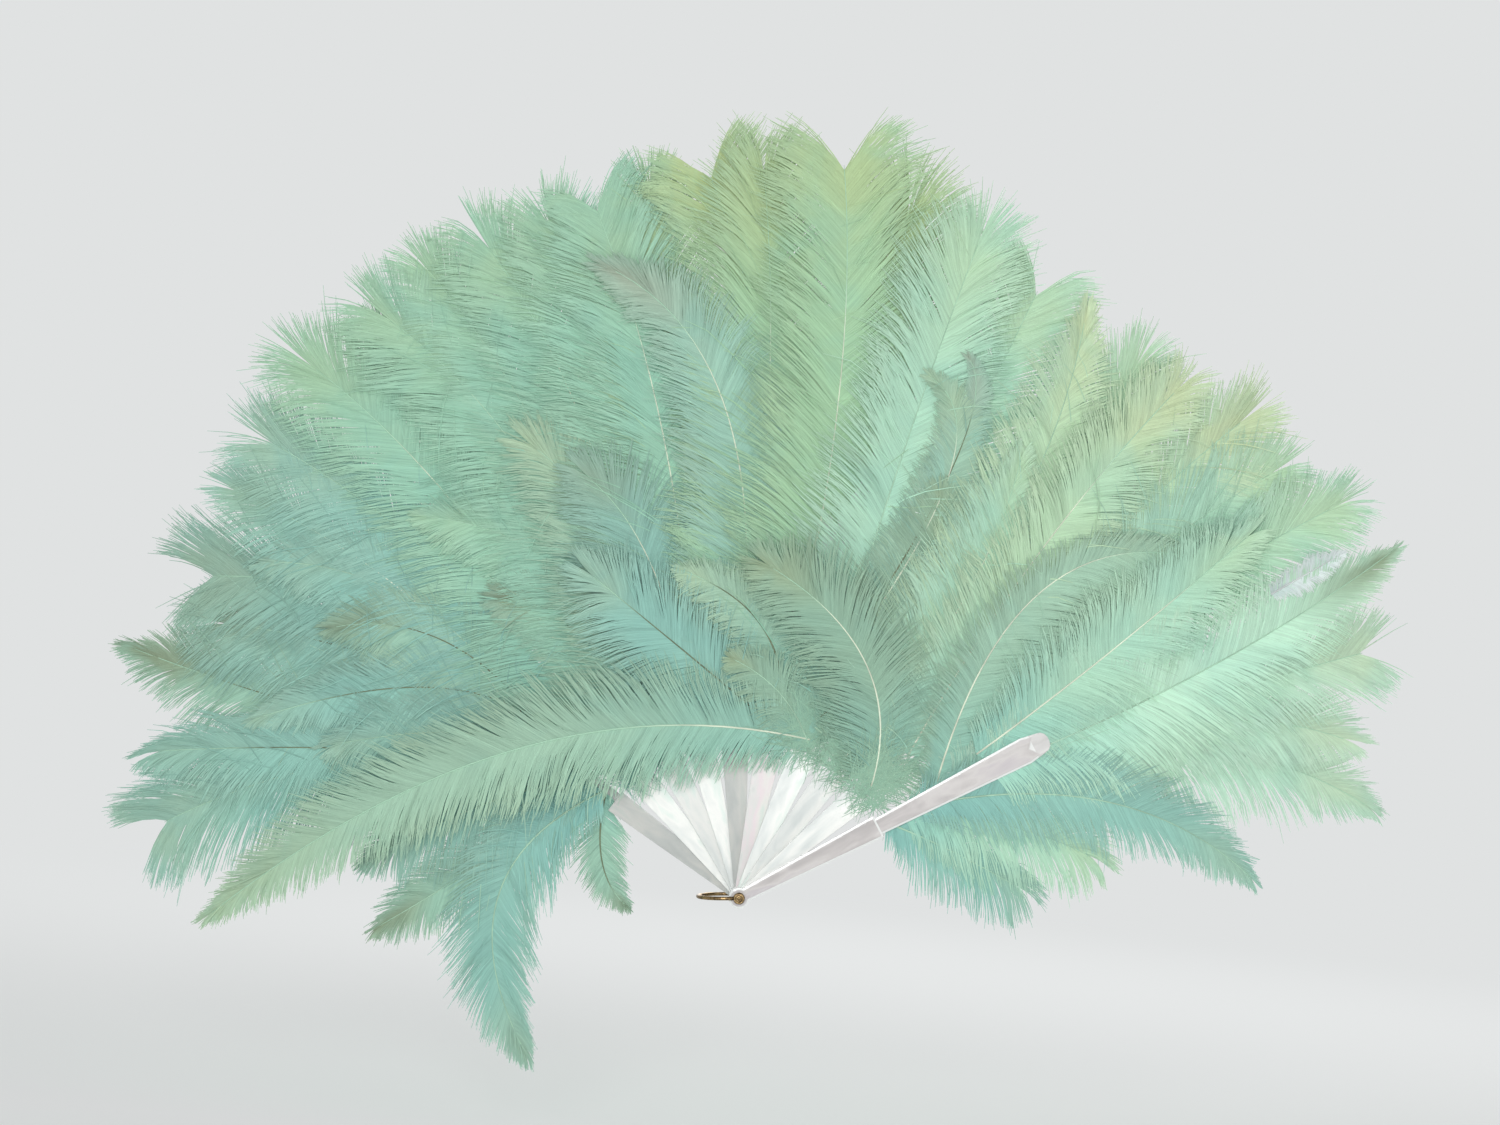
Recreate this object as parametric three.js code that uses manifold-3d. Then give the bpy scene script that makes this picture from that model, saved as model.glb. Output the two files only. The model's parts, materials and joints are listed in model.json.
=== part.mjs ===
// Ostrich feather folding fan: ten mother-of-pearl blades on one brass rivet, each carrying its own plumes.
// Millimetres, +Z up. The rivet's axis is Y through the origin, the front faces -Y and the open fan is
// centred on +Z. Each blade and its plumes are modelled standing along +Z and then leaned about the rivet.
import * as THREE from 'three';
import { mergeVertices } from 'three/addons/utils/BufferGeometryUtils.js';
import Module from 'manifold-3d';

// Opening
const STICK_COUNT = 8;               // plain sticks between the two guards
const SPREAD = 115.8;                // degrees between the guards of the open fan

// Layers along the rivet: a stick's plumes lie in layers of their own, so that the fan folds freely
const PLUME_THICKNESS = 0.4;
const LAYER_GAP = 0.05;              // between one plume layer and the next
const RUNNING_GAP = 0.3;             // between one blade and the next
const RIB_THICKNESS = 0.6;
const ARM_THICKNESS = 1.0;           // guard above its step
const ARM_RECESS = 0.3;              // guard's arm below the face of its lower part

// Plain stick
const HEAD_RADIUS = 5.2;             // rounded tail round the rivet
const STICK_PIVOT_WIDTH = 5;         // sides' spacing, drawn back to the rivet
const SHOULDER_WIDTH = 13.8;
const SHOULDER_REACH = 78;           // rivet to the stick's shoulder and to the guard's step
const SHOULDER_CROWN = 1.6;          // rise of the shoulder's curved top
const STICK_BEVEL = 0.25;
const RIB_ROOT_WIDTH = 6;
const RIB_TIP_WIDTH = 3.6;
const RIB_REACH = 165;

// Guard
const GUARD_PIVOT_WIDTH = 6.4;
const STEP_WIDTH = 11.5;
const NECK_WIDTH = 8.1;
const FLARE_WIDTH = 13.5;
const FLARE_REACH = 160;
const GUARD_REACH = 173;
const NOSE_WIDTH = 10.6;
const NOSE_LENGTH = 4.5;             // rounded end past the tapered nose
const GUARD_BEVEL_WIDTH = 1.2;
const GUARD_BEVEL_DEPTH = 0.3;
const FACET_START = 161;             // point of the V where the two carved tip facets begin
const FACET_SKEW = 52;               // degrees from the guard's line to each arm of the V
const FACET_SLOPE = 4;               // degrees that each facet falls away

// Rivet and its loop
const PIN_RADIUS = 1.25;
const PIN_CLEARANCE = 0.3;           // round the pin in every hole
const RIVET_HEAD_RADIUS = 2.7;
const RIVET_HEAD_HEIGHT = 1.3;
const BURR_THICKNESS = 0.9;
const BURR_GAP = 0.1;                // between the burr and the closed end of the pin
const PEENED_RADIUS = 1.8;
const PEENED_HEIGHT = 0.8;
const WIRE_DIAMETER = 1.9;
const EYE_WALL = 1.4;
const LOOP_REACH = 20.5;             // rivet to the middle of the loop's bow
const LOOP_LEAN = -94.9;             // degrees from +Z towards +X

// Plume section and outline
const QUILL_WIDTH = 1.8;
const TIP_WIDTH = 1.2;
const PLUME_STATIONS = 18;
const VANE_START = 0.03;             // share of the length where the bare quill ends
const VANE_FULL = 0.32;              // share of the length where the vane reaches its full width
const TIP_START = 0.6;               // share of the length where the vane begins to round off
const TUFT_DEPTH = 0.09;             // notches between the tufts, as a share of the width

// Fineness of the round forms
const OUTLINE_STEPS = 7;             // along each curve of a blade's outline
const TURNED_SIDES = 20;
const PEENED_STEPS = 3;
const DOME_STEPS = 4;
const WIRE_STEPS = 30;
const WIRE_CURVE_STEPS = 4;

// Plumes by blade, front guard first. Each row: name, layer, root above the shoulder, then the middle and
// the tip of the quill as [degrees clockwise from its blade, reach from the rivet], and the vane's width.
const GUARD_LAYER = { first: 0, second: 1, third: 2, fourth: 3 };
const STICK_LAYER = { front: 0, middle: 1, back: 2 };
const PLUMES = [
  [
    ['plume_1', 'first', 62, [1, 262], [-1, 373], 50],
    ['plume_2', 'second', 56, [4, 254], [6, 347], 52],
    ['plume_3', 'third', 50, [6, 243], [14, 320], 54],
    ['plume_4', 'fourth', 40, [9, 237], [20, 322], 56],
    ['plume_5', 'first', 22, [13, 192], [26, 259], 36],
    ['plume_6', 'second', 14, [13, 142], [23, 188], 42],
    ['plume_7', 'third', 4, [16, 111], [28, 151], 34],
    ['arched_plume', 'fourth', 30, [-18, 220], [-6, 296], 50],
  ],
  [
    ['front_plume', 'front', 8, [-23, 135], [-49, 172], 42],
    ['high_plume', 'middle', 32, [-9, 234], [-9, 350], 40],
    ['low_plume', 'middle', 52, [5, 256], [7, 372], 44],
    ['back_plume', 'back', 14, [-4, 257], [-3, 366], 48],
  ],
  [
    ['front_plume', 'front', 10, [0, 186], [-5, 268], 44],
    ['middle_plume', 'middle', 5, [-1, 232], [-7, 347], 50],
    ['back_plume', 'back', 9, [1, 252], [-1, 350], 52],
  ],
  [
    ['front_plume', 'front', 20, [7, 173], [1, 232], 46],
    ['sweeping_plume', 'front', 8, [-82, 136], [-117, 270], 46],
    ['middle_plume', 'middle', 22, [-4, 249], [-4, 372], 54],
    ['small_plume', 'middle', 6, [-14, 105], [-28, 121], 22],
    ['back_plume', 'back', 7, [2, 242], [2, 356], 54],
  ],
  [
    ['front_plume', 'front', 9, [-23, 123], [-38, 190], 46],
    ['middle_plume', 'middle', 5, [0, 253], [-4, 392], 66],
    ['back_plume', 'back', 10, [4, 242], [2, 379], 64],
  ],
  [
    ['front_plume', 'front', 10, [0, 243], [-12, 328], 50],
    ['middle_plume', 'middle', 5, [5, 248], [3, 385], 58],
    ['back_plume', 'back', 8, [5, 238], [-2, 382], 60],
  ],
  [
    ['front_plume', 'front', 8, [-1, 180], [-8, 235], 50],
    ['middle_plume', 'middle', 5, [5, 238], [2, 372], 56],
    ['back_plume', 'back', 9, [1, 240], [-2, 372], 56],
  ],
  [
    ['front_plume', 'front', 8, [6, 202], [0, 259], 48],
    ['middle_plume', 'middle', 5, [9, 243], [5, 373], 56],
    ['back_plume', 'back', 10, [1, 243], [-6, 363], 58],
  ],
  [
    ['front_plume', 'front', 8, [8, 156], [-1, 195], 38],
    ['middle_plume', 'middle', 5, [4, 244], [0, 366], 58],
    ['back_plume', 'back', 9, [-2, 228], [-7, 350], 56],
  ],
  [
    ['plume_1', 'first', 58, [5, 228], [1, 340], 54],
    ['plume_2', 'second', 54, [2, 229], [-8, 328], 56],
    ['plume_3', 'third', 48, [-4, 219], [-11, 315], 52],
    ['plume_4', 'fourth', 40, [-13, 224], [-15, 340], 52],
    ['plume_5', 'first', 32, [-17, 215], [-24, 315], 46],
    ['plume_6', 'second', 26, [-18, 206], [-32, 308], 54],
    ['plume_7', 'third', 14, [-31, 133], [-43, 189], 36],
    ['plume_8', 'first', 8, [-39, 122], [-77, 135], 42],
    ['plume_9', 'fourth', 6, [-25, 70], [-46, 54], 22],
  ],
];

// Sizes that follow from those above
const PLUME_PITCH = PLUME_THICKNESS + LAYER_GAP;
const STICK_LAYERS = Object.keys(STICK_LAYER).length;
const GUARD_LAYERS = Object.keys(GUARD_LAYER).length;
const STICK_PITCH = STICK_LAYERS * PLUME_PITCH + RIB_THICKNESS + LAYER_GAP;
const BLADE_THICKNESS = STICK_PITCH - RUNNING_GAP;
const GUARD_THICKNESS = ARM_RECESS + ARM_THICKNESS + GUARD_LAYERS * PLUME_PITCH;
const STACK = 2 * GUARD_THICKNESS + RUNNING_GAP + STICK_COUNT * STICK_PITCH;
const HOLE_RADIUS = PIN_RADIUS + PIN_CLEARANCE;
const LAST = STICK_COUNT + 1;
const RIVET_SEAT = STACK / 2 + RUNNING_GAP + WIRE_DIAMETER + RUNNING_GAP;
const WELD = 4;                      // how far a rib or an arm runs into the blade that it grows from
const CUT = 4 * FLARE_WIDTH;         // side of the blocks that trim a guard

const PEARL = { color: 0xeae8e3, roughness: 0.22, metalness: 0 };
const BRASS = { color: 0x9a7a45, roughness: 0.35, metalness: 1 };
const MINT = { color: 0x9fcfb0, roughness: 0.8, metalness: 0 };

const wasm = await Module();
wasm.setup();

/** A closed geometry as a solid that can be joined and cut. */
function solidOf(geometry) {
  const bare = geometry.clone();
  bare.deleteAttribute('normal');
  bare.deleteAttribute('uv');
  const merged = mergeVertices(bare, 1e-5);
  return new wasm.Manifold(new wasm.Mesh({
    numProp: 3,
    vertProperties: new Float32Array(merged.attributes.position.array),
    triVerts: new Uint32Array(merged.index.array),
  }));
}

/** A solid back as a geometry. */
function geometryOf(solid) {
  const mesh = solid.getMesh();
  const geometry = new THREE.BufferGeometry();
  geometry.setAttribute('position', new THREE.BufferAttribute(new Float32Array(mesh.vertProperties), 3));
  geometry.setIndex(new THREE.BufferAttribute(new Uint32Array(mesh.triVerts), 1));
  geometry.computeVertexNormals();
  return geometry;
}

/** Stands an extruded shape up, its first face at the given y and its thickness running towards +Y. */
function stand(geometry, front, thickness) {
  return geometry.rotateX(Math.PI / 2).translate(0, front + thickness, 0);
}

/** A flat plate of the shape, with both faces' edges bevelled inside the shape's outline. */
function plate(shape, front, thickness, bevelWidth = 0, bevelDepth = 0) {
  const geometry = new THREE.ExtrudeGeometry(shape, {
    depth: thickness - 2 * bevelDepth,
    curveSegments: OUTLINE_STEPS,
    bevelEnabled: bevelWidth > 0,
    bevelThickness: bevelDepth,
    bevelSize: bevelWidth,
    bevelOffset: -bevelWidth,
    bevelSegments: 1,
  });
  geometry.translate(0, 0, bevelDepth);
  return solidOf(stand(geometry, front, thickness));
}

/** A plate whose edges are bevelled on the outward face alone: side -1 is the front, 1 the back. */
function outerBevelPlate(shape, front, thickness, side) {
  const spare = GUARD_BEVEL_DEPTH;
  const start = side < 0 ? front : front - spare;
  const blank = plate(shape, start, thickness + spare, GUARD_BEVEL_WIDTH, GUARD_BEVEL_DEPTH);
  const trim = new THREE.BoxGeometry(CUT, 2 * spare, 2 * GUARD_REACH + CUT);
  trim.translate(0, side < 0 ? front + thickness + spare : front - spare, GUARD_REACH / 2);
  return blank.subtract(solidOf(trim));
}

/** Outline of a blade's lower part: straight sides from a round tail to the top, with the rivet's hole. */
function bladeShape(pivotWidth, topWidth, crown) {
  const half = pivotWidth / 2;
  const slope = (topWidth / 2 - half) / SHOULDER_REACH;
  const a = 1 + slope * slope;
  const b = half * slope;
  const meet = (-b + Math.sqrt(b * b - a * (half * half - HEAD_RADIUS * HEAD_RADIUS))) / a;
  const angle = Math.atan2(meet, half + slope * meet);
  const shape = new THREE.Shape();
  shape.moveTo(topWidth / 2, SHOULDER_REACH);
  if (crown > 0) shape.quadraticCurveTo(0, SHOULDER_REACH + 2 * crown, -topWidth / 2, SHOULDER_REACH);
  else shape.lineTo(-topWidth / 2, SHOULDER_REACH);
  shape.absarc(0, 0, HEAD_RADIUS, Math.PI - angle, angle, false);
  const hole = new THREE.Path();
  hole.absarc(0, 0, HOLE_RADIUS, 0, 2 * Math.PI, true);
  shape.holes.push(hole);
  return shape;
}

/** Outline of the thin rib that runs on from a stick's shoulder under its plumes. */
function ribShape() {
  const start = SHOULDER_REACH - WELD;
  const end = RIB_REACH - RIB_TIP_WIDTH / 2;
  const shape = new THREE.Shape();
  shape.moveTo(-RIB_ROOT_WIDTH / 2, start);
  shape.lineTo(RIB_ROOT_WIDTH / 2, start);
  shape.lineTo(RIB_TIP_WIDTH / 2, end);
  shape.absarc(0, end, RIB_TIP_WIDTH / 2, 0, Math.PI, false);
  return shape;
}

/** Outline of a guard's arm: a neck at the step, flaring to a tapered and rounded nose. */
function armShape() {
  const start = SHOULDER_REACH - WELD;
  const nose = GUARD_REACH - NOSE_LENGTH;
  const shape = new THREE.Shape();
  shape.moveTo(-NECK_WIDTH / 2, start);
  shape.lineTo(NECK_WIDTH / 2, start);
  shape.lineTo(FLARE_WIDTH / 2, FLARE_REACH);
  shape.lineTo(NOSE_WIDTH / 2, nose);
  const pull = nose + (4 / 3) * NOSE_LENGTH;
  shape.bezierCurveTo(NOSE_WIDTH / 2, pull, -NOSE_WIDTH / 2, pull, -NOSE_WIDTH / 2, nose);
  shape.lineTo(-FLARE_WIDTH / 2, FLARE_REACH);
  return shape;
}

/** The wedge that carves a guard's tip: two facets fall away from the arms of a V and meet in a valley. */
function facetCutter(face, side) {
  const halves = [-1, 1].map((hand) => {
    const block = new THREE.BoxGeometry(CUT, CUT, CUT);
    block.translate(0, (side * CUT) / 2, CUT / 2);
    block.rotateX(side * THREE.MathUtils.degToRad(FACET_SLOPE));
    block.rotateY(hand * THREE.MathUtils.degToRad(90 - FACET_SKEW));
    block.translate(0, face, FACET_START);
    return solidOf(block);
  });
  return halves[0].intersect(halves[1]);
}

/** Front of a plume layer: a guard's lie inside its arm, a stick's two before its rib and one behind. */
function layerFront(index, layer) {
  const front = slabFront(index);
  if (index === 0) return front + ARM_RECESS + ARM_THICKNESS + LAYER_GAP + GUARD_LAYER[layer] * PLUME_PITCH;
  if (index === LAST) return front + LAYER_GAP + GUARD_LAYER[layer] * PLUME_PITCH;
  const past = STICK_LAYER[layer] > STICK_LAYER.middle ? RIB_THICKNESS + LAYER_GAP : 0;
  return front + LAYER_GAP + STICK_LAYER[layer] * PLUME_PITCH + past;
}

/** Front of a blade's slab along the rivet: the front guard, the sticks, then the back guard. */
function slabFront(index) {
  if (index === 0) return -STACK / 2;
  return -STACK / 2 + GUARD_THICKNESS + RUNNING_GAP + (index - 1) * STICK_PITCH;
}

/** A blade's turn about the rivet in the open fan. */
function leanOf(index) {
  return THREE.MathUtils.degToRad(SPREAD / 2 - (index * SPREAD) / LAST);
}

/** A plain stick: the bevelled blade, with the thin rib growing from its shoulder. */
function stickGeometry(index) {
  const front = slabFront(index);
  const shape = bladeShape(STICK_PIVOT_WIDTH, SHOULDER_WIDTH, SHOULDER_CROWN);
  const blade = plate(shape, front, BLADE_THICKNESS, STICK_BEVEL, STICK_BEVEL);
  const ribFront = front + LAYER_GAP + STICK_LAYER.back * PLUME_PITCH;
  return geometryOf(blade.add(plate(ribShape(), ribFront, RIB_THICKNESS)));
}

/** A guard: the thick lower part and the arm with its carved tip, bevelled on the outward side. */
function guardGeometry(index) {
  const side = index === 0 ? -1 : 1;
  const front = slabFront(index);
  const armFront = side < 0 ? front + ARM_RECESS : front + GUARD_THICKNESS - ARM_RECESS - ARM_THICKNESS;
  const armFace = side < 0 ? armFront : armFront + ARM_THICKNESS;
  const lower = outerBevelPlate(bladeShape(GUARD_PIVOT_WIDTH, STEP_WIDTH, 0), front, GUARD_THICKNESS, side);
  const arm = outerBevelPlate(armShape(), armFront, ARM_THICKNESS, side);
  return geometryOf(lower.add(arm.subtract(facetCutter(armFace, side))));
}

/** A place on a plume, given by its turn from the blade and its reach from the rivet. */
function place([turn, reach]) {
  const angle = THREE.MathUtils.degToRad(turn);
  return new THREE.Vector2(reach * Math.sin(angle), reach * Math.cos(angle));
}

/** Half the vane's width along a plume: a bare quill, a quick swell, a long body and a round tufted tip. */
function halfWidth(share, width, station) {
  const rise = THREE.MathUtils.smoothstep(share, VANE_START, VANE_FULL);
  const past = Math.max(0, (share - TIP_START) / (1 - TIP_START));
  const tuft = station % 2 === 0 ? 1 : 1 - TUFT_DEPTH;
  const vane = (width / 2) * rise * Math.sqrt(Math.max(0, 1 - past * past)) * tuft;
  const bare = THREE.MathUtils.lerp(QUILL_WIDTH, TIP_WIDTH, share) / 2;
  return Math.max(bare, vane);
}

/** A plume lofted along its quill: a flat diamond section, thickest on the quill, inside its own layer. */
function plumeGeometry(front, rootReach, middle, tip, width) {
  const start = new THREE.Vector2(0, rootReach);
  const via = place(middle);
  const end = place(tip);
  const control = via.clone().multiplyScalar(2).sub(start.clone().add(end).multiplyScalar(0.5));
  const spine = new THREE.QuadraticBezierCurve(start, control, end);
  const positions = [];
  for (let station = 0; station <= PLUME_STATIONS; station += 1) {
    const share = station / PLUME_STATIONS;
    const at = spine.getPoint(share);
    const along = spine.getTangent(share);
    const half = halfWidth(share, width, station);
    const mid = front + PLUME_THICKNESS / 2;
    positions.push(at.x - along.y * half, mid, at.y + along.x * half);
    positions.push(at.x, front, at.y);
    positions.push(at.x + along.y * half, mid, at.y - along.x * half);
    positions.push(at.x, front + PLUME_THICKNESS, at.y);
  }
  const triangles = [0, 2, 1, 0, 3, 2];
  for (let station = 0; station < PLUME_STATIONS; station += 1) {
    for (let corner = 0; corner < 4; corner += 1) {
      const a = 4 * station + corner;
      const b = 4 * station + ((corner + 1) % 4);
      triangles.push(a, b, a + 4, b, b + 4, a + 4);
    }
  }
  const last = 4 * PLUME_STATIONS;
  triangles.push(last, last + 1, last + 2, last, last + 2, last + 3);
  const geometry = new THREE.BufferGeometry();
  geometry.setAttribute('position', new THREE.Float32BufferAttribute(positions, 3));
  geometry.setIndex(triangles);
  geometry.computeVertexNormals();
  return geometry;
}

/** The pin, with its domed back head and the peened end that closes over the burr. */
function pinGeometry() {
  const shoulder = -RIVET_SEAT - BURR_THICKNESS - BURR_GAP;
  const profile = [new THREE.Vector2(0, shoulder - PEENED_HEIGHT)];
  for (let step = 1; step <= PEENED_STEPS; step += 1) {
    const turn = (step / PEENED_STEPS) * (Math.PI / 2);
    const height = PEENED_HEIGHT * Math.cos(turn);
    profile.push(new THREE.Vector2(PEENED_RADIUS * Math.sin(turn), shoulder - height));
  }
  profile.push(new THREE.Vector2(PIN_RADIUS, shoulder));
  profile.push(new THREE.Vector2(PIN_RADIUS, RIVET_SEAT));
  for (let step = 0; step <= DOME_STEPS; step += 1) {
    const turn = (step / DOME_STEPS) * (Math.PI / 2);
    const radius = step === DOME_STEPS ? 0 : RIVET_HEAD_RADIUS * Math.cos(turn);
    profile.push(new THREE.Vector2(radius, RIVET_SEAT + RIVET_HEAD_HEIGHT * Math.sin(turn)));
  }
  return geometryOf(solidOf(new THREE.LatheGeometry(profile, TURNED_SIDES)));
}

/** The burr: a coned washer that the front end of the pin is peened over. */
function burrGeometry() {
  const bore = PIN_RADIUS + BURR_GAP;
  const front = -RIVET_SEAT - BURR_THICKNESS;
  const profile = [
    new THREE.Vector2(bore, front),
    new THREE.Vector2(PEENED_RADIUS, front),
    new THREE.Vector2(RIVET_HEAD_RADIUS, front + BURR_THICKNESS / 2),
    new THREE.Vector2(RIVET_HEAD_RADIUS, -RIVET_SEAT),
    new THREE.Vector2(bore, -RIVET_SEAT),
    new THREE.Vector2(bore, front),
  ];
  return geometryOf(solidOf(new THREE.LatheGeometry(profile, TURNED_SIDES)));
}

/** Half round bow of the loop, in the plane of the rivet's axis. */
class BowCurve extends THREE.Curve {
  constructor(radius, centre) {
    super();
    this.radius = radius;
    this.centre = centre;
  }

  getPoint(share, target = new THREE.Vector3()) {
    const turn = Math.PI * share;
    return target.set(0, -this.radius * Math.cos(turn), this.centre + this.radius * Math.sin(turn));
  }
}

/** The wire loop: an eye under each rivet end, two straight legs and a half round bow behind the tails. */
function loopGeometry() {
  const side = STACK / 2 + RUNNING_GAP + WIRE_DIAMETER / 2;
  const eyeRadius = HOLE_RADIUS + EYE_WALL;
  const legStart = HOLE_RADIUS + EYE_WALL / 2;
  const legEnd = LOOP_REACH - side;
  const path = new THREE.CurvePath();
  path.add(new THREE.LineCurve3(new THREE.Vector3(0, -side, legStart), new THREE.Vector3(0, -side, legEnd)));
  path.add(new BowCurve(side, legEnd));
  path.add(new THREE.LineCurve3(new THREE.Vector3(0, side, legEnd), new THREE.Vector3(0, side, legStart)));
  const section = new THREE.Shape();
  section.absarc(0, 0, WIRE_DIAMETER / 2, 0, 2 * Math.PI, false);
  const fineness = { steps: WIRE_STEPS, curveSegments: WIRE_CURVE_STEPS };
  let loop = solidOf(new THREE.ExtrudeGeometry(section, { ...fineness, extrudePath: path }));
  for (const front of [-side, side]) {
    const eye = new THREE.Shape();
    eye.absarc(0, 0, eyeRadius, 0, 2 * Math.PI, false);
    const hole = new THREE.Path();
    hole.absarc(0, 0, HOLE_RADIUS, 0, 2 * Math.PI, true);
    eye.holes.push(hole);
    loop = loop.add(plate(eye, front - WIRE_DIAMETER / 2, WIRE_DIAMETER));
  }
  return geometryOf(loop);
}

/** Adds one named piece with its own material. */
function addPiece(group, name, geometry, finish) {
  const mesh = new THREE.Mesh(geometry, new THREE.MeshStandardMaterial(finish));
  mesh.name = name;
  group.add(mesh);
}

/** A blade's name by its number from the front. */
function bladeName(index) {
  if (index === 0) return 'front_guard';
  return index === LAST ? 'back_guard' : `stick_${index}`;
}

/** One blade with its plumes, leaned about the rivet to its place in the open fan. */
function leaf(index) {
  const group = new THREE.Group();
  const isGuard = index === 0 || index === LAST;
  addPiece(group, bladeName(index), isGuard ? guardGeometry(index) : stickGeometry(index), PEARL);
  for (const [name, layer, above, middle, tip, width] of PLUMES[index]) {
    const vane = plumeGeometry(layerFront(index, layer), SHOULDER_REACH + above, middle, tip, width);
    addPiece(group, `${bladeName(index)}_${name}`, vane, MINT);
  }
  group.rotation.y = leanOf(index);
  return group;
}

const fan = new THREE.Group();
for (let index = 0; index <= LAST; index += 1) fan.add(leaf(index));
addPiece(fan, 'rivet_pin', pinGeometry(), BRASS);
addPiece(fan, 'rivet_burr', burrGeometry(), BRASS);

const loop = new THREE.Group();
addPiece(loop, 'wire_loop', loopGeometry(), BRASS);
loop.rotation.y = THREE.MathUtils.degToRad(LOOP_LEAN);
fan.add(loop);

export default fan;
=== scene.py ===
"""Dresses the feather fan.

Plumes of separate barbs, mother-of-pearl blades, and an aged brass rivet and loop.
"""

import json
import logging
import math
from dataclasses import dataclass
from enum import Enum
from typing import Any, Sequence

import bmesh
import bpy
import numpy as np
from mathutils import Matrix, Vector


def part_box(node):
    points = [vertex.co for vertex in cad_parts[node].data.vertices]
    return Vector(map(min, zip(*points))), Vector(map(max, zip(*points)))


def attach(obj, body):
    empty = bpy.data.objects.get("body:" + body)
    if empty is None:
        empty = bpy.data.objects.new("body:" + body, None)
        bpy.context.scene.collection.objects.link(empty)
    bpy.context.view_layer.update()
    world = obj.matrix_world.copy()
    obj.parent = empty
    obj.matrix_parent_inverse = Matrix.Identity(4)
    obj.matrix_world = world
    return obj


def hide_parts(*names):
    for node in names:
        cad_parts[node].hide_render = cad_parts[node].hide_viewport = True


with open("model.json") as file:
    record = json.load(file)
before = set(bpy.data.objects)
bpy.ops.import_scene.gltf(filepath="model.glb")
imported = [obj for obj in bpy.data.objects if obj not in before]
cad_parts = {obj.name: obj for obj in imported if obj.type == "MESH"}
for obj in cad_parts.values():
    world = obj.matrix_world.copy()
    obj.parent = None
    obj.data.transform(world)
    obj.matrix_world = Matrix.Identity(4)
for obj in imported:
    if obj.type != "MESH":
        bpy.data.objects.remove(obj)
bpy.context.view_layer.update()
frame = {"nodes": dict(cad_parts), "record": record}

LOG = logging.getLogger("feather_fan")
MM = 0.001
WELD = 1e-7  # corners closer than this are one, in metres
TINY = 1e-9  # keeps a division safe where a line stands still
WHITE = (1.0, 1.0, 1.0, 1.0)
BARB_MARKS = "barb"  # the attribute that carries what a plume's materials read
Colour = tuple[int, int, int]
Polar = tuple[float, float]
Span = tuple[float, float]
Triple = tuple[float, float, float]
Marks = tuple[np.ndarray, np.ndarray]
Socket = bpy.types.NodeSocket

# The fan, in millimetres and degrees
SPREAD = 115.8
LAST_BLADE = 9
SHOULDER_REACH = 78.0
RIM_REACH = 392.0
FLARE_REACH = 174.0  # past the ribs and the guards' arms
DEPTH_FLARE = 0.85  # how much further apart the plume layers stand at the rim than on the ribs

# Barbs
BARB_SPACING = 0.36
BARB_CROWD = ((0.0, 0.8), (0.3, 1.0), (0.82, 1.0), (1.0, 2.4))  # along the quill, and how closely they stand
BARB_SIDES = 3
BARB_RINGS = 4
BARB_WIDTH = 0.31  # half of what the width loses from the quill to the end
BARB_END = 0.12  # half the width at the end
BARB_UNEVEN = 0.15  # how far that loss differs from barb to barb, as a share
BARB_DEPTH = 0.12  # share of the width
BARB_BEND = 12.0  # how far a barb's end turns away from the quill, in degrees
BARB_TILT = 0.12  # each barb's face leans towards the plume's tip, in radians
BARB_ANGLES = ((0.0, 66.0), (0.14, 56.0), (0.55, 46.0), (0.85, 36.0))  # along the quill, and off it
VANE_ANGLE = 47.0  # the barbs' angle where a vane is as wide as its row says
VANE_REACH = 1.2  # how far the loose ends of the barbs reach past the width of the plume
STEPS = np.linspace(0, 1, BARB_RINGS + 1)
MIDDLES = (STEPS[:-1] + STEPS[1:]) / 2
TAPER_POWER = 0.8  # the lower it is, the longer barbs and quills stay broad
MIDDLE_TONE = 0.5
HALF_PAINTED_SHADE = 0.2  # painted shade: how much darker the half of a vane that faces up and to the left is painted
PAINTED_SHADE_SIDE = (-0.45, 0.9)  # across and up: vane halves that face this way are painted darker

# Quills
SHAFT_RINGS = 30
SHAFT_SIDES = 6
SHAFT_PROUD = 0.12  # how far a quill stands in front of its vane
SHAFT_END = 0.14  # half the width at the tip
SHAFT_TAPER = 0.4  # half of what the width loses from the root to the tip
SHAFT_OVER = 0.01  # how far a quill runs on past its last barb, as a share of its length

# Heights on the unwrapped map
MAP_LEFT = (0.0, 0.48)
MAP_RIGHT = (0.5, 0.98)
MAP_WHOLE = (0.0, 0.98)
MAP_SHAFT = (0.489, 0.007)  # the middle of the quill's strip, and half its height
LANE_SHARE = 0.3  # how much of its lane a strand takes up


@dataclass(frozen=True)
class Ruffle:
    """How far something varies from barb to barb, from clump to clump, and slowly along a plume."""

    each: float
    clump: float
    slow: float = 0.0


LENGTHS = Ruffle(0.08, 0.07)
ANGLES = Ruffle(0.45, 0.4, 3.4)
BENDS = Ruffle(4.2, 2.4, 8.0)
LIFTS = Ruffle(0.02, 0.04, 0.3)
WAVES = Ruffle(0.002, 0.005, 0.016)
TONES = Ruffle(0.16, 0.1)


class Tip(Enum):
    """How a plume ends."""

    SPEAR = (0.2, 3.0, 0.32, 0.7)
    LEAF = (0.32, 4.0, 0.45, 0.0)
    ROUND = (0.48, 6.0, 0.58, 0.0)
    BRUSH = (0.7, 30.0, 0.78, 1.0)
    NOTCH = (0.66, 40.0, 0.84, 0.25)

    def __init__(self, share: float, angle: float, narrows: float, fill: float) -> None:
        """Names the numbers of a row.

        Args:
            share: Share of the barb length that is left at the quill's end.
            angle: The barbs' angle off the quill there, in degrees.
            narrows: The place along the quill from which the vane narrows.
            fill: How far the last barbs fill in the gap between the two halves.
        """
        self.share = share
        self.angle = angle
        self.narrows = narrows
        self.fill = fill


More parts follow.
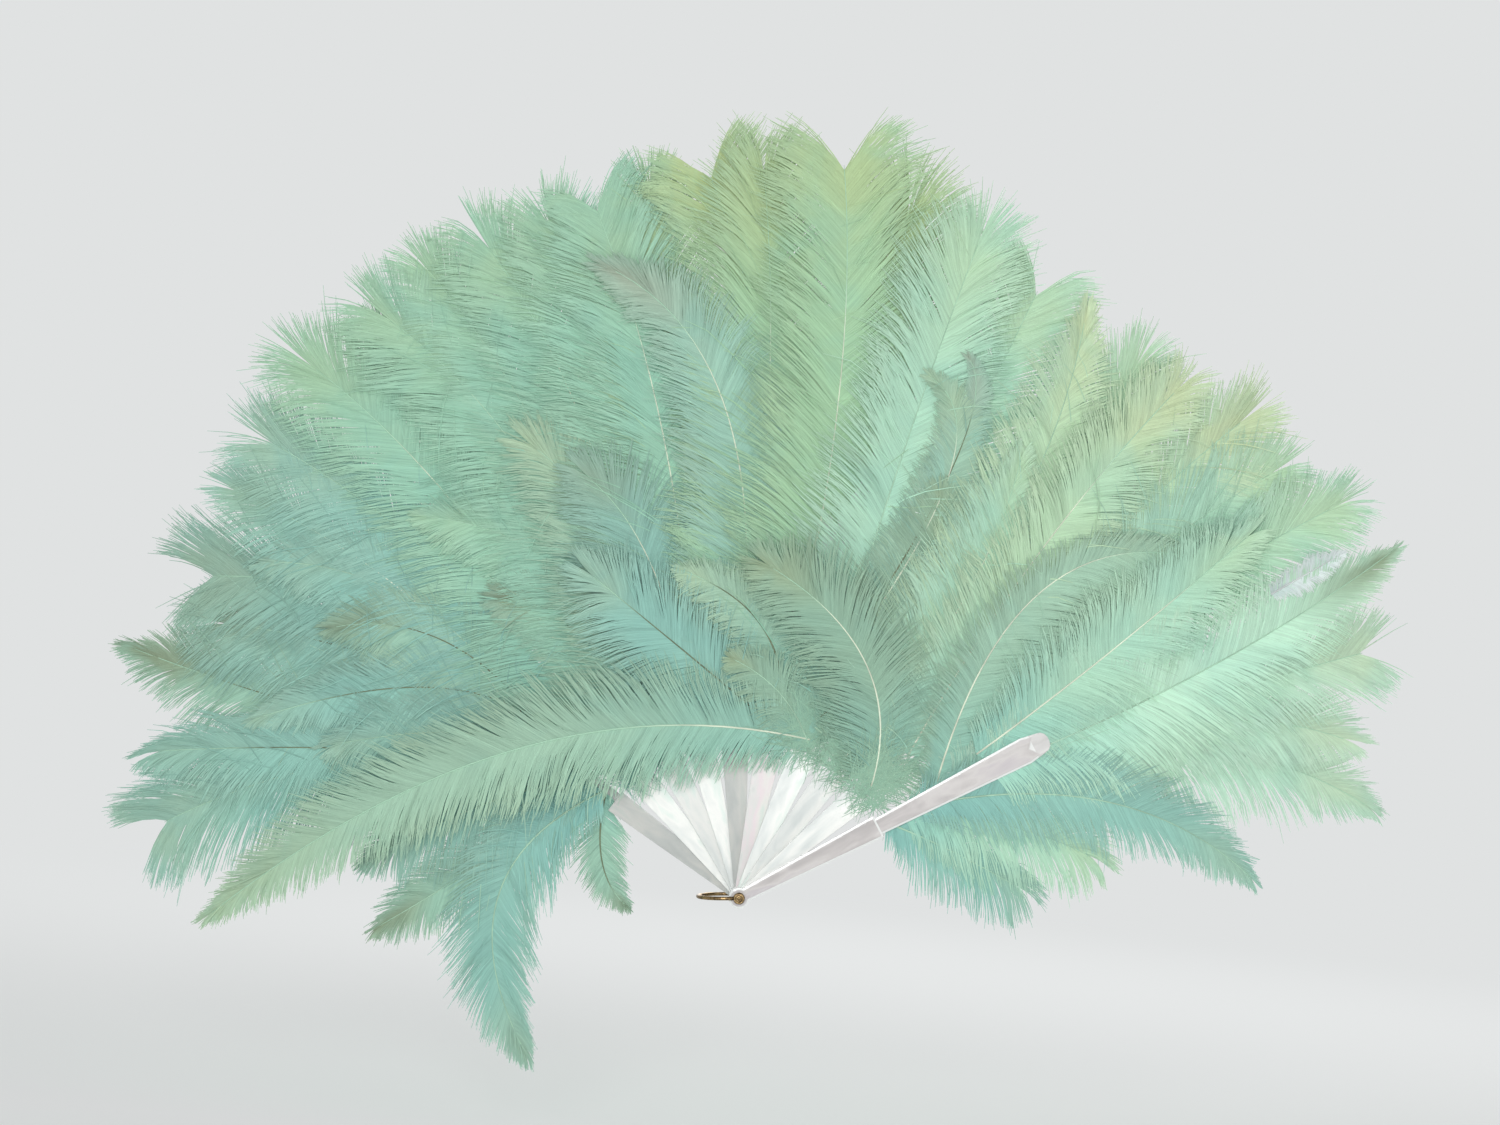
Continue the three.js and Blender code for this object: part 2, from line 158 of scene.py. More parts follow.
class Dye(Enum):
    """The tints of the dyed plumes: at the root, in the vane, at the tip and along the fringe."""

    MINT = ((140, 190, 174), (164, 204, 179), (168, 199, 165), (176, 208, 182))
    JADE = ((128, 181, 165), (143, 189, 165), (151, 186, 154), (158, 196, 170))
    LIME = ((134, 186, 164), (152, 190, 153), (164, 187, 139), (165, 194, 157))
    AQUA = ((124, 175, 166), (134, 181, 168), (145, 178, 157), (152, 190, 173))
    TEAL = ((122, 171, 162), (130, 173, 159), (136, 165, 145), (145, 181, 164))
    SAGE = ((134, 179, 163), (149, 184, 161), (157, 182, 151), (163, 192, 165))
    MOSS = ((128, 172, 156), (135, 169, 147), (142, 163, 132), (149, 179, 153))
    OLIVE = ((132, 180, 164), (146, 184, 162), (124, 138, 110), (152, 183, 159))
    PALE = ((143, 189, 171), (168, 204, 182), (174, 199, 170), (182, 211, 189))
    DUSK = ((152, 200, 182), (180, 218, 193), (126, 144, 116), (182, 214, 188))
    CREAM = ((150, 194, 174), (172, 204, 170), (180, 196, 156), (184, 208, 176))
    STRAW = ((134, 186, 164), (150, 188, 152), (168, 186, 132), (164, 193, 155))
    LILAC = ((134, 184, 168), (144, 184, 165), (148, 163, 144), (156, 188, 168))
    WHITE = ((180, 198, 194), (198, 210, 208), (204, 212, 212), (210, 218, 217))


class Shaft(Enum):
    """The colour of a plume's quill, and the place along it where it sinks into the vane."""

    LIGHT = ((226, 235, 213), 0.85)
    ROOT = ((226, 235, 213), 0.3)
    GREEN = ((168, 206, 180), 1.0)
    DARK = ((112, 124, 96), 0.9)
    WHITE = ((206, 214, 213), 1.2)


@dataclass(frozen=True)
class Plume:
    """One plume of a leaf: a quill curved over the fan's face, and how its vane looks, in millimetres.

    The quill's root stands above its blade's shoulder. Its middle and its tip are given as degrees clockwise
    from the blade and the reach from the rivet. A plume with no node of its own lies beside one that has.
    """

    name: str
    above: float
    middle: Polar
    tip: Polar
    width: float
    dye: Dye
    end: Tip
    shaft: Shaft
    droop: float = 0.10
    beside: str = ""
    nudge: float = -0.2  # how far behind the plume beside it
    turn: float = 0.0  # the root's degrees clockwise from the blade
    left: float = 1.0  # share of the barb length on the quill's left side
    forward: float = 0.0  # how far the vane lies in front of its solid


FRONT_GUARD = (
    Plume("plume_1", 62, (1, 262), (-1, 373), 50, Dye.DUSK, Tip.SPEAR, Shaft.GREEN),
    Plume("plume_2", 56, (4, 254), (6, 347), 42, Dye.PALE, Tip.NOTCH, Shaft.GREEN),
    Plume("plume_3", 50, (6, 243), (14, 322), 44, Dye.PALE, Tip.ROUND, Shaft.GREEN),
    Plume("plume_4", 40, (9, 237), (20, 322), 50, Dye.PALE, Tip.LEAF, Shaft.GREEN, 0.16),
    Plume("plume_5", 22, (13, 192), (26, 259), 36, Dye.AQUA, Tip.LEAF, Shaft.GREEN, 0.22),
    Plume("plume_6", 14, (13, 142), (23, 188), 42, Dye.MINT, Tip.ROUND, Shaft.GREEN, 0.40),
    Plume("plume_7", 4, (16, 111), (28, 151), 34, Dye.AQUA, Tip.BRUSH, Shaft.GREEN, 0.50),
    Plume("arched_plume", 30, (-18, 220), (-6, 296), 50, Dye.SAGE, Tip.LEAF, Shaft.LIGHT, left=0.5),
    Plume(
        "gap_filler", 60, (-6.4, 222), (-8.5, 322), 40, Dye.MINT, Tip.ROUND, Shaft.LIGHT, 0.1, "plume_1",
        turn=-4,
    ),
    Plume(
        "white_filler", 226, (-2.6, 326), (-2.6, 347), 11, Dye.WHITE, Tip.LEAF, Shaft.WHITE, 0.1, "plume_1",
        turn=-2.6,
    ),
)
STICK_1 = (
    Plume("front_plume", 8, (-23, 135), (-49, 172), 42, Dye.MOSS, Tip.ROUND, Shaft.LIGHT),
    Plume("high_plume", 32, (-9, 234), (-9, 350), 40, Dye.CREAM, Tip.BRUSH, Shaft.LIGHT),
    Plume("low_plume", 52, (5, 256), (7, 372), 44, Dye.MINT, Tip.BRUSH, Shaft.GREEN),
    Plume("back_plume", 14, (-4, 257), (-3, 366), 48, Dye.CREAM, Tip.BRUSH, Shaft.LIGHT),
    Plume("far_filler", 48, (0, 255), (2, 358), 44, Dye.MINT, Tip.BRUSH, Shaft.GREEN, 0.1, "back_plume"),
)
STICK_2 = (
    Plume("front_plume", 10, (0, 186), (-5, 268), 44, Dye.MINT, Tip.LEAF, Shaft.LIGHT),
    Plume("middle_plume", 5, (-1, 232), (-7, 347), 50, Dye.CREAM, Tip.LEAF, Shaft.GREEN),
    Plume("back_plume", 9, (1, 252), (-1, 350), 52, Dye.MINT, Tip.BRUSH, Shaft.GREEN),
)
STICK_3 = (
    Plume("front_plume", 20, (7, 173), (1, 232), 46, Dye.MOSS, Tip.LEAF, Shaft.DARK),
    Plume("sweeping_plume", 8, (-82, 136), (-117, 270), 46, Dye.SAGE, Tip.LEAF, Shaft.ROOT, 0.06),
    Plume("middle_plume", 22, (-4, 249), (-4, 372), 54, Dye.MINT, Tip.BRUSH, Shaft.GREEN),
    Plume("small_plume", 6, (-14, 105), (-28, 121), 24, Dye.MOSS, Tip.LEAF, Shaft.GREEN, forward=0.6),
    Plume("back_plume", 7, (2, 242), (2, 356), 54, Dye.MINT, Tip.NOTCH, Shaft.LIGHT),
    Plume("lilac_filler", 70, (2, 254), (-2, 294), 22, Dye.LILAC, Tip.LEAF, Shaft.DARK, 0.1, "middle_plume"),
    Plume(
        "leaf_filler", 60, (2, 241), (-5, 277), 26, Dye.SAGE, Tip.LEAF, Shaft.LIGHT, 0.1, "front_plume",
        nudge=0.2,
    ),
)
STICK_4 = (
    Plume("front_plume", 9, (-23, 123), (-38, 190), 46, Dye.AQUA, Tip.ROUND, Shaft.DARK),
    Plume("middle_plume", 5, (0, 253), (-4, 392), 66, Dye.LIME, Tip.NOTCH, Shaft.LIGHT),
    Plume("back_plume", 10, (4, 242), (2, 379), 64, Dye.LIME, Tip.BRUSH, Shaft.LIGHT),
    Plume("lilac_filler", 60, (9, 211), (7, 250), 24, Dye.WHITE, Tip.LEAF, Shaft.GREEN, 0.1, "middle_plume"),
    Plume("leaf_filler", 30, (-9, 142), (-23, 168), 24, Dye.SAGE, Tip.LEAF, Shaft.DARK, 0.1, "front_plume"),
)
STICK_5 = (
    Plume("front_plume", 10, (0, 243), (-12, 328), 50, Dye.LILAC, Tip.LEAF, Shaft.LIGHT),
    Plume("middle_plume", 5, (5, 248), (3, 385), 58, Dye.LIME, Tip.BRUSH, Shaft.LIGHT),
    Plume("back_plume", 8, (5, 238), (-2, 382), 60, Dye.STRAW, Tip.NOTCH, Shaft.GREEN),
)
STICK_6 = (
    Plume("front_plume", 8, (-1, 180), (-8, 235), 50, Dye.TEAL, Tip.ROUND, Shaft.LIGHT),
    Plume("middle_plume", 5, (5, 238), (2, 372), 56, Dye.JADE, Tip.NOTCH, Shaft.LIGHT),
    Plume("back_plume", 9, (1, 240), (-2, 372), 56, Dye.JADE, Tip.BRUSH, Shaft.GREEN),
    Plume("high_filler", 36, (7, 250), (7, 376), 46, Dye.LIME, Tip.BRUSH, Shaft.GREEN, 0.1, "back_plume"),
)
STICK_7 = (
    Plume("front_plume", 8, (6, 202), (0, 259), 48, Dye.SAGE, Tip.ROUND, Shaft.LIGHT),
    Plume("middle_plume", 5, (9, 243), (5, 373), 56, Dye.JADE, Tip.BRUSH, Shaft.LIGHT),
    Plume("back_plume", 10, (1, 243), (-6, 363), 58, Dye.JADE, Tip.BRUSH, Shaft.GREEN),
    Plume("far_filler", 37, (4, 243), (0, 370), 46, Dye.JADE, Tip.BRUSH, Shaft.GREEN, 0.1, "back_plume"),
)
STICK_8 = (
    Plume("front_plume", 8, (8, 156), (-1, 195), 38, Dye.OLIVE, Tip.ROUND, Shaft.DARK),
    Plume("middle_plume", 5, (4, 244), (0, 366), 58, Dye.JADE, Tip.BRUSH, Shaft.LIGHT),
    Plume("back_plume", 9, (-2, 228), (-7, 350), 56, Dye.AQUA, Tip.BRUSH, Shaft.GREEN),
    Plume("gap_filler", 34, (7, 246), (7, 350), 46, Dye.JADE, Tip.BRUSH, Shaft.GREEN, 0.1, "back_plume", 0.2),
    Plume("light_filler", 32, (11, 184), (-1, 253), 44, Dye.JADE, Tip.LEAF, Shaft.GREEN, 0.1, "front_plume"),
)
BACK_GUARD = (
    Plume("plume_1", 58, (5, 228), (1, 340), 54, Dye.AQUA, Tip.ROUND, Shaft.LIGHT),
    Plume("plume_2", 54, (2, 229), (-8, 328), 56, Dye.TEAL, Tip.NOTCH, Shaft.LIGHT, 0.14),
    Plume("plume_3", 48, (-4, 219), (-11, 315), 52, Dye.TEAL, Tip.BRUSH, Shaft.DARK, 0.2),
    Plume("plume_4", 40, (-13, 224), (-15, 340), 52, Dye.OLIVE, Tip.LEAF, Shaft.DARK, 0.2),
    Plume("plume_5", 32, (-17, 215), (-24, 315), 46, Dye.AQUA, Tip.ROUND, Shaft.DARK, 0.3),
    Plume("plume_6", 26, (-18, 206), (-32, 308), 54, Dye.AQUA, Tip.NOTCH, Shaft.GREEN, 0.3),
    Plume("plume_7", 14, (-31, 133), (-43, 189), 36, Dye.OLIVE, Tip.LEAF, Shaft.GREEN, 0.3),
    Plume("plume_8", 8, (-39, 122), (-77, 135), 42, Dye.AQUA, Tip.LEAF, Shaft.GREEN, 0.4),
    Plume("plume_9", 6, (-25, 70), (-46, 54), 22, Dye.OLIVE, Tip.SPEAR, Shaft.DARK, 0.3),
    Plume("gap_filler", 40, (-6, 218), (-8, 300), 46, Dye.AQUA, Tip.BRUSH, Shaft.GREEN, 0.15, "plume_3", 0.2),
    Plume("broad_filler", 40, (5, 218), (-3, 298), 44, Dye.AQUA, Tip.LEAF, Shaft.GREEN, 0.15, "plume_1"),
    Plume(
        "brown_filler", 32, (4, 191), (-5, 250), 38, Dye.OLIVE, Tip.LEAF, Shaft.DARK, 0.15, "plume_1",
        nudge=-0.5,
    ),
    Plume("blue_filler", 24, (-1, 175), (-18, 264), 34, Dye.AQUA, Tip.LEAF, Shaft.DARK, 0.2, "plume_1", -0.3),
    Plume(
        "pale_filler", 18, (-5, 152), (-18, 225), 36, Dye.AQUA, Tip.ROUND, Shaft.GREEN, 0.25, "plume_1",
        nudge=-0.6,
    ),
    Plume("low_filler", 14, (-15, 129), (-33, 194), 44, Dye.TEAL, Tip.LEAF, Shaft.GREEN, 0.35, "plume_2"),
)
LEAVES = (FRONT_GUARD, STICK_1, STICK_2, STICK_3, STICK_4, STICK_5, STICK_6, STICK_7, STICK_8, BACK_GUARD)


def linear(colour: Colour) -> tuple[float, float, float, float]:
    """Turns a colour as it looks on a screen into the linear colour that a shader takes.

    Args:
        colour: Red, green and blue from 0 to 255.

    Returns:
        The linear colour with full alpha.
    """
    shares = (part / 255 for part in colour)
    red, green, blue = (s / 12.92 if s <= 0.04045 else ((s + 0.055) / 1.055) ** 2.4 for s in shares)
    return red, green, blue, 1.0


def smooth(low: float, high: float, share: np.ndarray) -> np.ndarray:
    """Rises smoothly from 0 at low to 1 at high.

    Args:
        low: Where the rise starts.
        high: Where it ends.
        share: The places to work it out at.

    Returns:
        The height of the rise at each place.
    """
    part = np.clip((share - low) / (high - low), 0, 1)
    return part * part * (3 - 2 * part)


def blade_name(blade: int) -> str:
    """Names a blade.

    Args:
        blade: Its number from the front.

    Returns:
        The name of its node.
    """
    if blade == 0:
        return "front_guard"
    return "back_guard" if blade == LAST_BLADE else f"stick_{blade}"


def blade_lean(blade: int) -> float:
    """A blade's direction, in degrees from upright towards the right."""
    return SPREAD / 2 - blade * SPREAD / LAST_BLADE


def show(name: str, data: bpy.types.ID) -> bpy.types.Object:
    """Makes an object and puts it in the scene.

    Args:
        name: The object's name.
        data: Its mesh, lamp or camera.

    Returns:
        The object.
    """
    made = bpy.data.objects.new(name, data)
    bpy.context.scene.collection.objects.link(made)
    return made


def report(piece: bpy.types.Object) -> None:
    """Logs a piece's name and its number of faces."""
    LOG.info("%s has %d faces", piece.name, len(piece.data.polygons))


@dataclass(frozen=True)
class Cloud:
    """A kind of noise: how fine it is, its finer layers, how much it swirls and how far it is drawn out."""

    scale: float
    detail: float
    twist: float = 0.0
    stretch: float = 1.0


class Value:
    """A number in a material, on which ordinary operators add Math nodes."""

    def __init__(self, recipe: "Recipe", socket: Socket) -> None:
        """Keeps the recipe and the socket that gives the number."""
        self.recipe = recipe
        self.socket = socket

    def _maths(self, operation: str, *terms: Any) -> "Value":
        """Adds one Math node.

        Args:
            operation: The node's operation.
            terms: Numbers or values, in the node's order.

        Returns:
            The result as a value.
        """
        made = self.recipe.node("ShaderNodeMath", {"operation": operation}, dict(enumerate(terms)))
        return Value(self.recipe, made.outputs[0])

    def __add__(self, other: Any) -> "Value":
        """Adds."""
        return self._maths("ADD", self, other)

    def __radd__(self, other: Any) -> "Value":
        """Adds, with the number first."""
        return self._maths("ADD", other, self)

    def __sub__(self, other: Any) -> "Value":
        """Takes away."""
        return self._maths("SUBTRACT", self, other)

    def __rsub__(self, other: Any) -> "Value":
        """Takes away from a number."""
        return self._maths("SUBTRACT", other, self)

    def __mul__(self, other: Any) -> "Value":
        """Multiplies."""
        return self._maths("MULTIPLY", self, other)

    def __rmul__(self, other: Any) -> "Value":
        """Multiplies, with the number first."""
        return self._maths("MULTIPLY", other, self)


class Recipe:
    """The nodes of one material or of the world."""

    def __init__(self, owner: bpy.types.Material | bpy.types.World) -> None:
        """Starts with no nodes.

        Args:
            owner: The material or world that the nodes belong to.
        """
        self.owner = owner
        owner.use_nodes = True
        self.tree = owner.node_tree
        self.tree.nodes.clear()

    @classmethod
    def material(cls, name: str) -> "Recipe":
        """Starts a new material."""
        return cls(bpy.data.materials.new(name))

    def node(self, kind: str, settings: dict | None = None, inputs: dict | None = None) -> bpy.types.Node:
        """Adds a node.

        Args:
            kind: The node's type.
            settings: Its settings, which are set first; "stops" holds a ramp's places and colours.
            inputs: Values or links of its sockets, by name or number.

        Returns:
            The new node.
        """
        made = self.tree.nodes.new(kind)
        for key, setting in (settings or {}).items():
            if key == "stops":
                self._set_stops(made.color_ramp, setting)
            else:
                setattr(made, key, setting)
        for key, value in (inputs or {}).items():
            source = value.socket if isinstance(value, Value) else value
            if isinstance(source, Socket):
                self.tree.links.new(source, made.inputs[key])
            else:
                made.inputs[key].default_value = source
        return made

    @staticmethod
    def _set_stops(ramp: bpy.types.ColorRamp, stops: Sequence[tuple[float, Colour]]) -> None:
        """Fills a ramp.

        Args:
            ramp: The ramp.
            stops: Its places and colours.
        """
        while len(ramp.elements) < len(stops):
            ramp.elements.new(1.0)
        for element, (place, colour) in zip(ramp.elements, stops):
            element.position = place
            element.color = linear(colour)

    def rise(self, value: Value, low: float, high: float) -> Value:
        """Rises smoothly from 0 to 1 as a value goes from low to high.

        Args:
            value: The value.
            low: Where the rise starts.
            high: Where it ends.

        Returns:
            The height of the rise.
        """
        inputs = {"Value": value, "From Min": low, "From Max": high}
        made = self.node("ShaderNodeMapRange", {"interpolation_type": "SMOOTHSTEP"}, inputs)
        return Value(self, made.outputs[0])

    def mix(self, factor: Any, first: Any, second: Any, blend: str = "MIX") -> Socket:
        """Mixes two colours.

        Args:
            factor: Share of the second colour.
            first: A linear colour or a colour socket.
            second: A linear colour or a colour socket.
            blend: How they mix.

        Returns:
            The mixed colour's socket.
        """
        settings = {"data_type": "RGBA", "blend_type": blend}
        return self.node("ShaderNodeMix", settings, {0: factor, 6: first, 7: second}).outputs[2]

    def either(self, factor: Value, first: bpy.types.Node, second: bpy.types.Node) -> Socket:
        """Mixes two shaders.

        Args:
            factor: Share of the second shader.
            first: A shader.
            second: A shader.

        Returns:
            The mixed shader's socket.
        """
        inputs = {0: factor, 1: first.outputs[0], 2: second.outputs[0]}
        return self.node("ShaderNodeMixShader", None, inputs).outputs[0]

    def where(self) -> Socket:
        """The object's own coordinates."""
        return self.node("ShaderNodeTexCoord").outputs["Object"]

    def turned(self, lean: float) -> Socket:
        """Turns the object's own coordinates so that a leaning blade stands upright.

        Args:
            lean: The blade's direction, in degrees from upright towards the right.

        Returns:
            The turned coordinates.
        """
        inputs = {"Vector": self.where(), "Angle": math.radians(-lean)}
        return self.node("ShaderNodeVectorRotate", {"rotation_type": "Y_AXIS"}, inputs).outputs[0]

    def scaled(self, where: Socket, factors: Triple) -> Socket:
        """Multiplies coordinates by a factor along each axis."""
        made = self.node("ShaderNodeVectorMath", {"operation": "MULTIPLY"}, {0: where, 1: factors})
        return made.outputs[0]

    def noise(self, cloud: Cloud, where: Socket | None = None) -> Value:
        """Adds noise.

        Args:
            cloud: Its kind.
            where: The coordinates' socket; the object's own coordinates if none is given.

        Returns:
            The noise.
        """
        where = where or self.where()
        inputs = {"Vector": where, "Scale": cloud.scale, "Detail": cloud.detail, "Distortion": cloud.twist}
        return Value(self, self.node("ShaderNodeTexNoise", None, inputs).outputs[0])

    def streaks(self, cloud: Cloud, lean: float) -> Value:
        """Adds noise that is drawn out along a leaning blade.

        Args:
            cloud: Its kind.
            lean: The blade's direction, in degrees from upright towards the right.

        Returns:
            The noise.
        """
        return self.noise(cloud, self.scaled(self.turned(lean), (1.0, 1.0, 1.0 / cloud.stretch)))

    def bump(self, strength: float, distance: float, height: Value) -> Socket:
        """Roughens a surface.

        Args:
            strength: How strongly the bumps show.
            distance: How high they are, in metres.
            height: Where they are.

        Returns:
            The bumpy surface's normal.
        """
        inputs = {"Strength": strength, "Distance": distance, "Height": height}
        return self.node("ShaderNodeBump", None, inputs).outputs[0]

    def barb(self) -> tuple[Socket, Value, Value, Value]:
        """Reads the marks of a plume's strands.

        Returns:
            The marks together, and then the place along the plume, the reach along the strand and its tone.
        """
        marks = self.node("ShaderNodeAttribute", {"attribute_name": BARB_MARKS}).outputs["Vector"]
        parts = self.node("ShaderNodeSeparateXYZ", None, {0: marks}).outputs
        place, reach, tone = (Value(self, part) for part in parts)
        return marks, place, reach, tone

    def seen(self) -> Value:
        """Tells what the camera sees from what only lights the scene.

        Returns:
            1 for what it sees straight, in a mirror or through glass, and 0 for light.
        """
        path = self.node("ShaderNodeLightPath").outputs
        camera, glossy, through = (
            Value(self, path[f"Is {kind} Ray"]) for kind in ("Camera", "Glossy", "Transmission")
        )
        return camera + glossy + through

    def grey(self, value: Value) -> Socket:
        """The same value as a grey colour."""
        return self.node("ShaderNodeCombineColor", None, {0: value, 1: value, 2: value}).outputs[0]

    def finish(self, inputs: dict) -> bpy.types.Material:
        """Adds the surface shader and the output.

        Args:
            inputs: Values or links of the shader's sockets.

        Returns:
            The finished material.
        """
        surface = self.node("ShaderNodeBsdfPrincipled", None, inputs)
        self.node("ShaderNodeOutputMaterial", None, {"Surface": surface.outputs[0]})
        return self.owner


@dataclass(frozen=True)
class VaneFinish:
    """Dyed barbs: the tint changes along the plume and along each barb, and from one barb to the next, and
    the barbs' tone also carries a painted shade on one half of each vane.
    """

    dye: Dye
    root_fade: Span = (0.05, 0.4)  # along the quill
    tip_fade: Span = (0.68, 1.0)
    fringe_fade: Span = (0.35, 1.0)  # along each barb
    fringe_share: float = 0.6
    patches: Cloud = Cloud(26.0, 3.0, 0.6)
    patch_range: Span = (0.42, 0.7)
    patchiness: float = 0.35
    strands: Cloud = Cloud(1.0, 2.0)
    strand_scale: Triple = (330.0, 4.0, 60.0)  # along the quill, along each barb and by its tone
    spread: float = 0.34
    streak: float = 0.3
    roughness: float = 0.62
    gloss: float = 0.12  # how much less rough the lightest streaks are
    sheen: float = 0.25
    sheen_roughness: float = 0.4
    specular: float = 0.3

    def make(self) -> bpy.types.Material:
        """Builds the material, which reads the strands' marks.

        Returns:
            The material.
        """
        root, vane, tip, fringe = (linear(colour) for colour in self.dye.value)
        recipe = Recipe.material("vane_" + self.dye.name.lower())
        barb, place, reach, tone = recipe.barb()
        colour = recipe.mix(recipe.rise(place, *self.root_fade), root, vane)
        colour = recipe.mix(recipe.rise(place, *self.tip_fade), colour, tip)
        colour = recipe.mix(recipe.rise(reach, *self.fringe_fade) * self.fringe_share, colour, fringe)
        patch = recipe.rise(recipe.noise(self.patches), *self.patch_range)
        colour = recipe.mix(patch * self.patchiness, colour, root)
        fine = recipe.noise(self.strands, recipe.scaled(barb, self.strand_scale))
        # the tone holds each barb's random tone and the painted shade of its half of the vane
        shade = (1 - self.spread / 2 - self.streak / 2) + tone * self.spread + fine * self.streak
        colour = recipe.mix(1.0, colour, recipe.grey(shade), "MULTIPLY")
        return recipe.finish(
            {
                "Base Color": colour,
                "Roughness": self.roughness - fine * self.gloss,
                "Sheen Weight": self.sheen,
                "Sheen Roughness": self.sheen_roughness,
                "Specular IOR Level": self.specular,
            }
        )


@dataclass(frozen=True)
class ShaftFinish:
    """The quill: horn that is duller in places and dyed where it sinks into the vane."""

    shaft: Shaft
    dyed: Colour = (166, 206, 180)
    sinking: float = 0.2  # share of the quill's length over which it sinks in
    clouds: Cloud = Cloud(60.0, 2.0)
    dull_range: Span = (0.35, 0.7)
    dull_share: float = 0.72  # of the clear horn's brightness
    roughness: float = 0.42
    dull_roughness: float = 0.12

    def make(self) -> bpy.types.Material:
        """Builds the material.

        Returns:
            The material.
        """
        recipe = Recipe.material("shaft_" + self.shaft.name.lower())
        horn, sunk = self.shaft.value
        clear = linear(horn)
        dull = tuple(part * self.dull_share for part in clear[:3]) + (1.0,)
        cloud = recipe.noise(self.clouds)
        _, place, _, _ = recipe.barb()
        colour = recipe.mix(recipe.rise(cloud, *self.dull_range), clear, dull)
        dyed = recipe.rise(place, sunk - self.sinking, sunk)
        return recipe.finish(
            {
                "Base Color": recipe.mix(dyed, colour, linear(self.dyed)),
                "Roughness": self.roughness + cloud * self.dull_roughness,
            }
        )


@dataclass(frozen=True)
class Cut:
    """Where a blade's bevelled edges lie, which get a painted highlight, in millimetres.

    The outward face stands at a depth along the rivet. Inward is 1 where the blade lies behind it, and -1
    where it lies in front. Past the shoulder the face is set back by the recess, and the edges' slopes reach
    down to the band. From the nose on, a guard's arm is carved into larger facets, which get less of the
    painted highlight.
    """

    face: float
    inward: float
    band: float
    recess: float = 0.0
    nose: float = 0.0


@dataclass(frozen=True)
class PearlFinish:
    """Mother-of-pearl: clouded white with faint rose, green and blue streaks, and a painted highlight on the
    bevelled edges.
    """

    name: str
    stops: tuple[tuple[float, Colour], ...]
    clouds: Cloud = Cloud(60.0, 3.0, 0.5, 4.0)
    cloud_share: float = 0.75
    bands: Cloud = Cloud(160.0, 3.0, 0.8, 3.0)
    band_share: float = 0.25
    sheet_range: Span = (0.25, 0.75)
    # painted highlight: the near white colour painted on the bevels and carved facets
    painted_highlight: Colour = (224, 227, 225)
    painted_highlight_share: float = 0.92
    nose_loss: float = 0.6  # share of the painted highlight that the carved nose goes without
    slope_start: Span = (0.02, 0.1)  # how deep below the face an edge's slope starts, in millimetres
    slope_blur: float = 0.05  # how softly it ends
    shoulder_blur: float = 0.1
    nose_blur: float = 0.2
    grain: Cloud = Cloud(620.0, 2.0)
    grain_height: float = 0.4
    bump_strength: float = 0.12
    bump_height: float = 0.0002
    roughness: float = 0.14
    band_roughness: float = 0.16
    coat: float = 0.35
    coat_roughness: float = 0.08

    def _painted_highlight_edges(self, recipe: Recipe, lean: float, cut: Cut) -> Value:
        """Finds the bevels and carved facets of a blade, where the painted highlight goes.

        Args:
            recipe: The material's nodes.
            lean: The blade's direction, in degrees from upright.
            cut: Where its bevelled edges lie.

        Returns:
            1 on them, and 0 on the blade's faces and sides.
        """
        spot = recipe.node("ShaderNodeSeparateXYZ", None, {0: recipe.turned(lean)}).outputs
        along, up = Value(recipe, spot[1]), Value(recipe, spot[2])
        depth = (along * (1 / MM) - cut.face) * cut.inward
        if cut.recess:
            depth = depth - self._past(recipe, up, SHOULDER_REACH, self.shoulder_blur) * cut.recess
        below = recipe.rise(depth, cut.band, cut.band + self.slope_blur)
        edge = recipe.rise(depth, *self.slope_start) - below
        if cut.nose:
            edge = edge * (1 - self._past(recipe, up, cut.nose, self.nose_blur) * self.nose_loss)
        return edge

    @staticmethod
    def _past(recipe: Recipe, up: Value, reach: float, blur: float) -> Value:
        """0 below a reach from the rivet and 1 past it, with a soft change between."""
        return recipe.rise(up, (reach - blur) * MM, (reach + blur) * MM)

    def make(self, lean: float, cut: Cut) -> bpy.types.Material:
        """Builds the material for one blade.

        Args:
            lean: The blade's direction, in degrees from upright.
            cut: Where its bevelled edges lie.

        Returns:
            The material.
        """
        recipe = Recipe.material(f"{self.name}_{round(lean)}")
        cloud = recipe.streaks(self.clouds, lean)
        band = recipe.streaks(self.bands, lean)
        sheet = recipe.rise(cloud * self.cloud_share + band * self.band_share, *self.sheet_range)
        colour = recipe.node("ShaderNodeValToRGB", {"stops": self.stops}, {0: sheet}).outputs[0]
        edge = self._painted_highlight_edges(recipe, lean, cut)
        grain = recipe.noise(self.grain)
        return recipe.finish(
            {
                # painted highlight: the bevels and facets are mixed towards a near white colour
                "Base Color": recipe.mix(edge * self.painted_highlight_share, colour, linear(self.painted_highlight)),
                "Roughness": self.roughness + band * self.band_roughness,
                "Coat Weight": self.coat,
                "Coat Roughness": self.coat_roughness,
                "Normal": recipe.bump(self.bump_strength, self.bump_height, grain * self.grain_height + band),
            }
        )


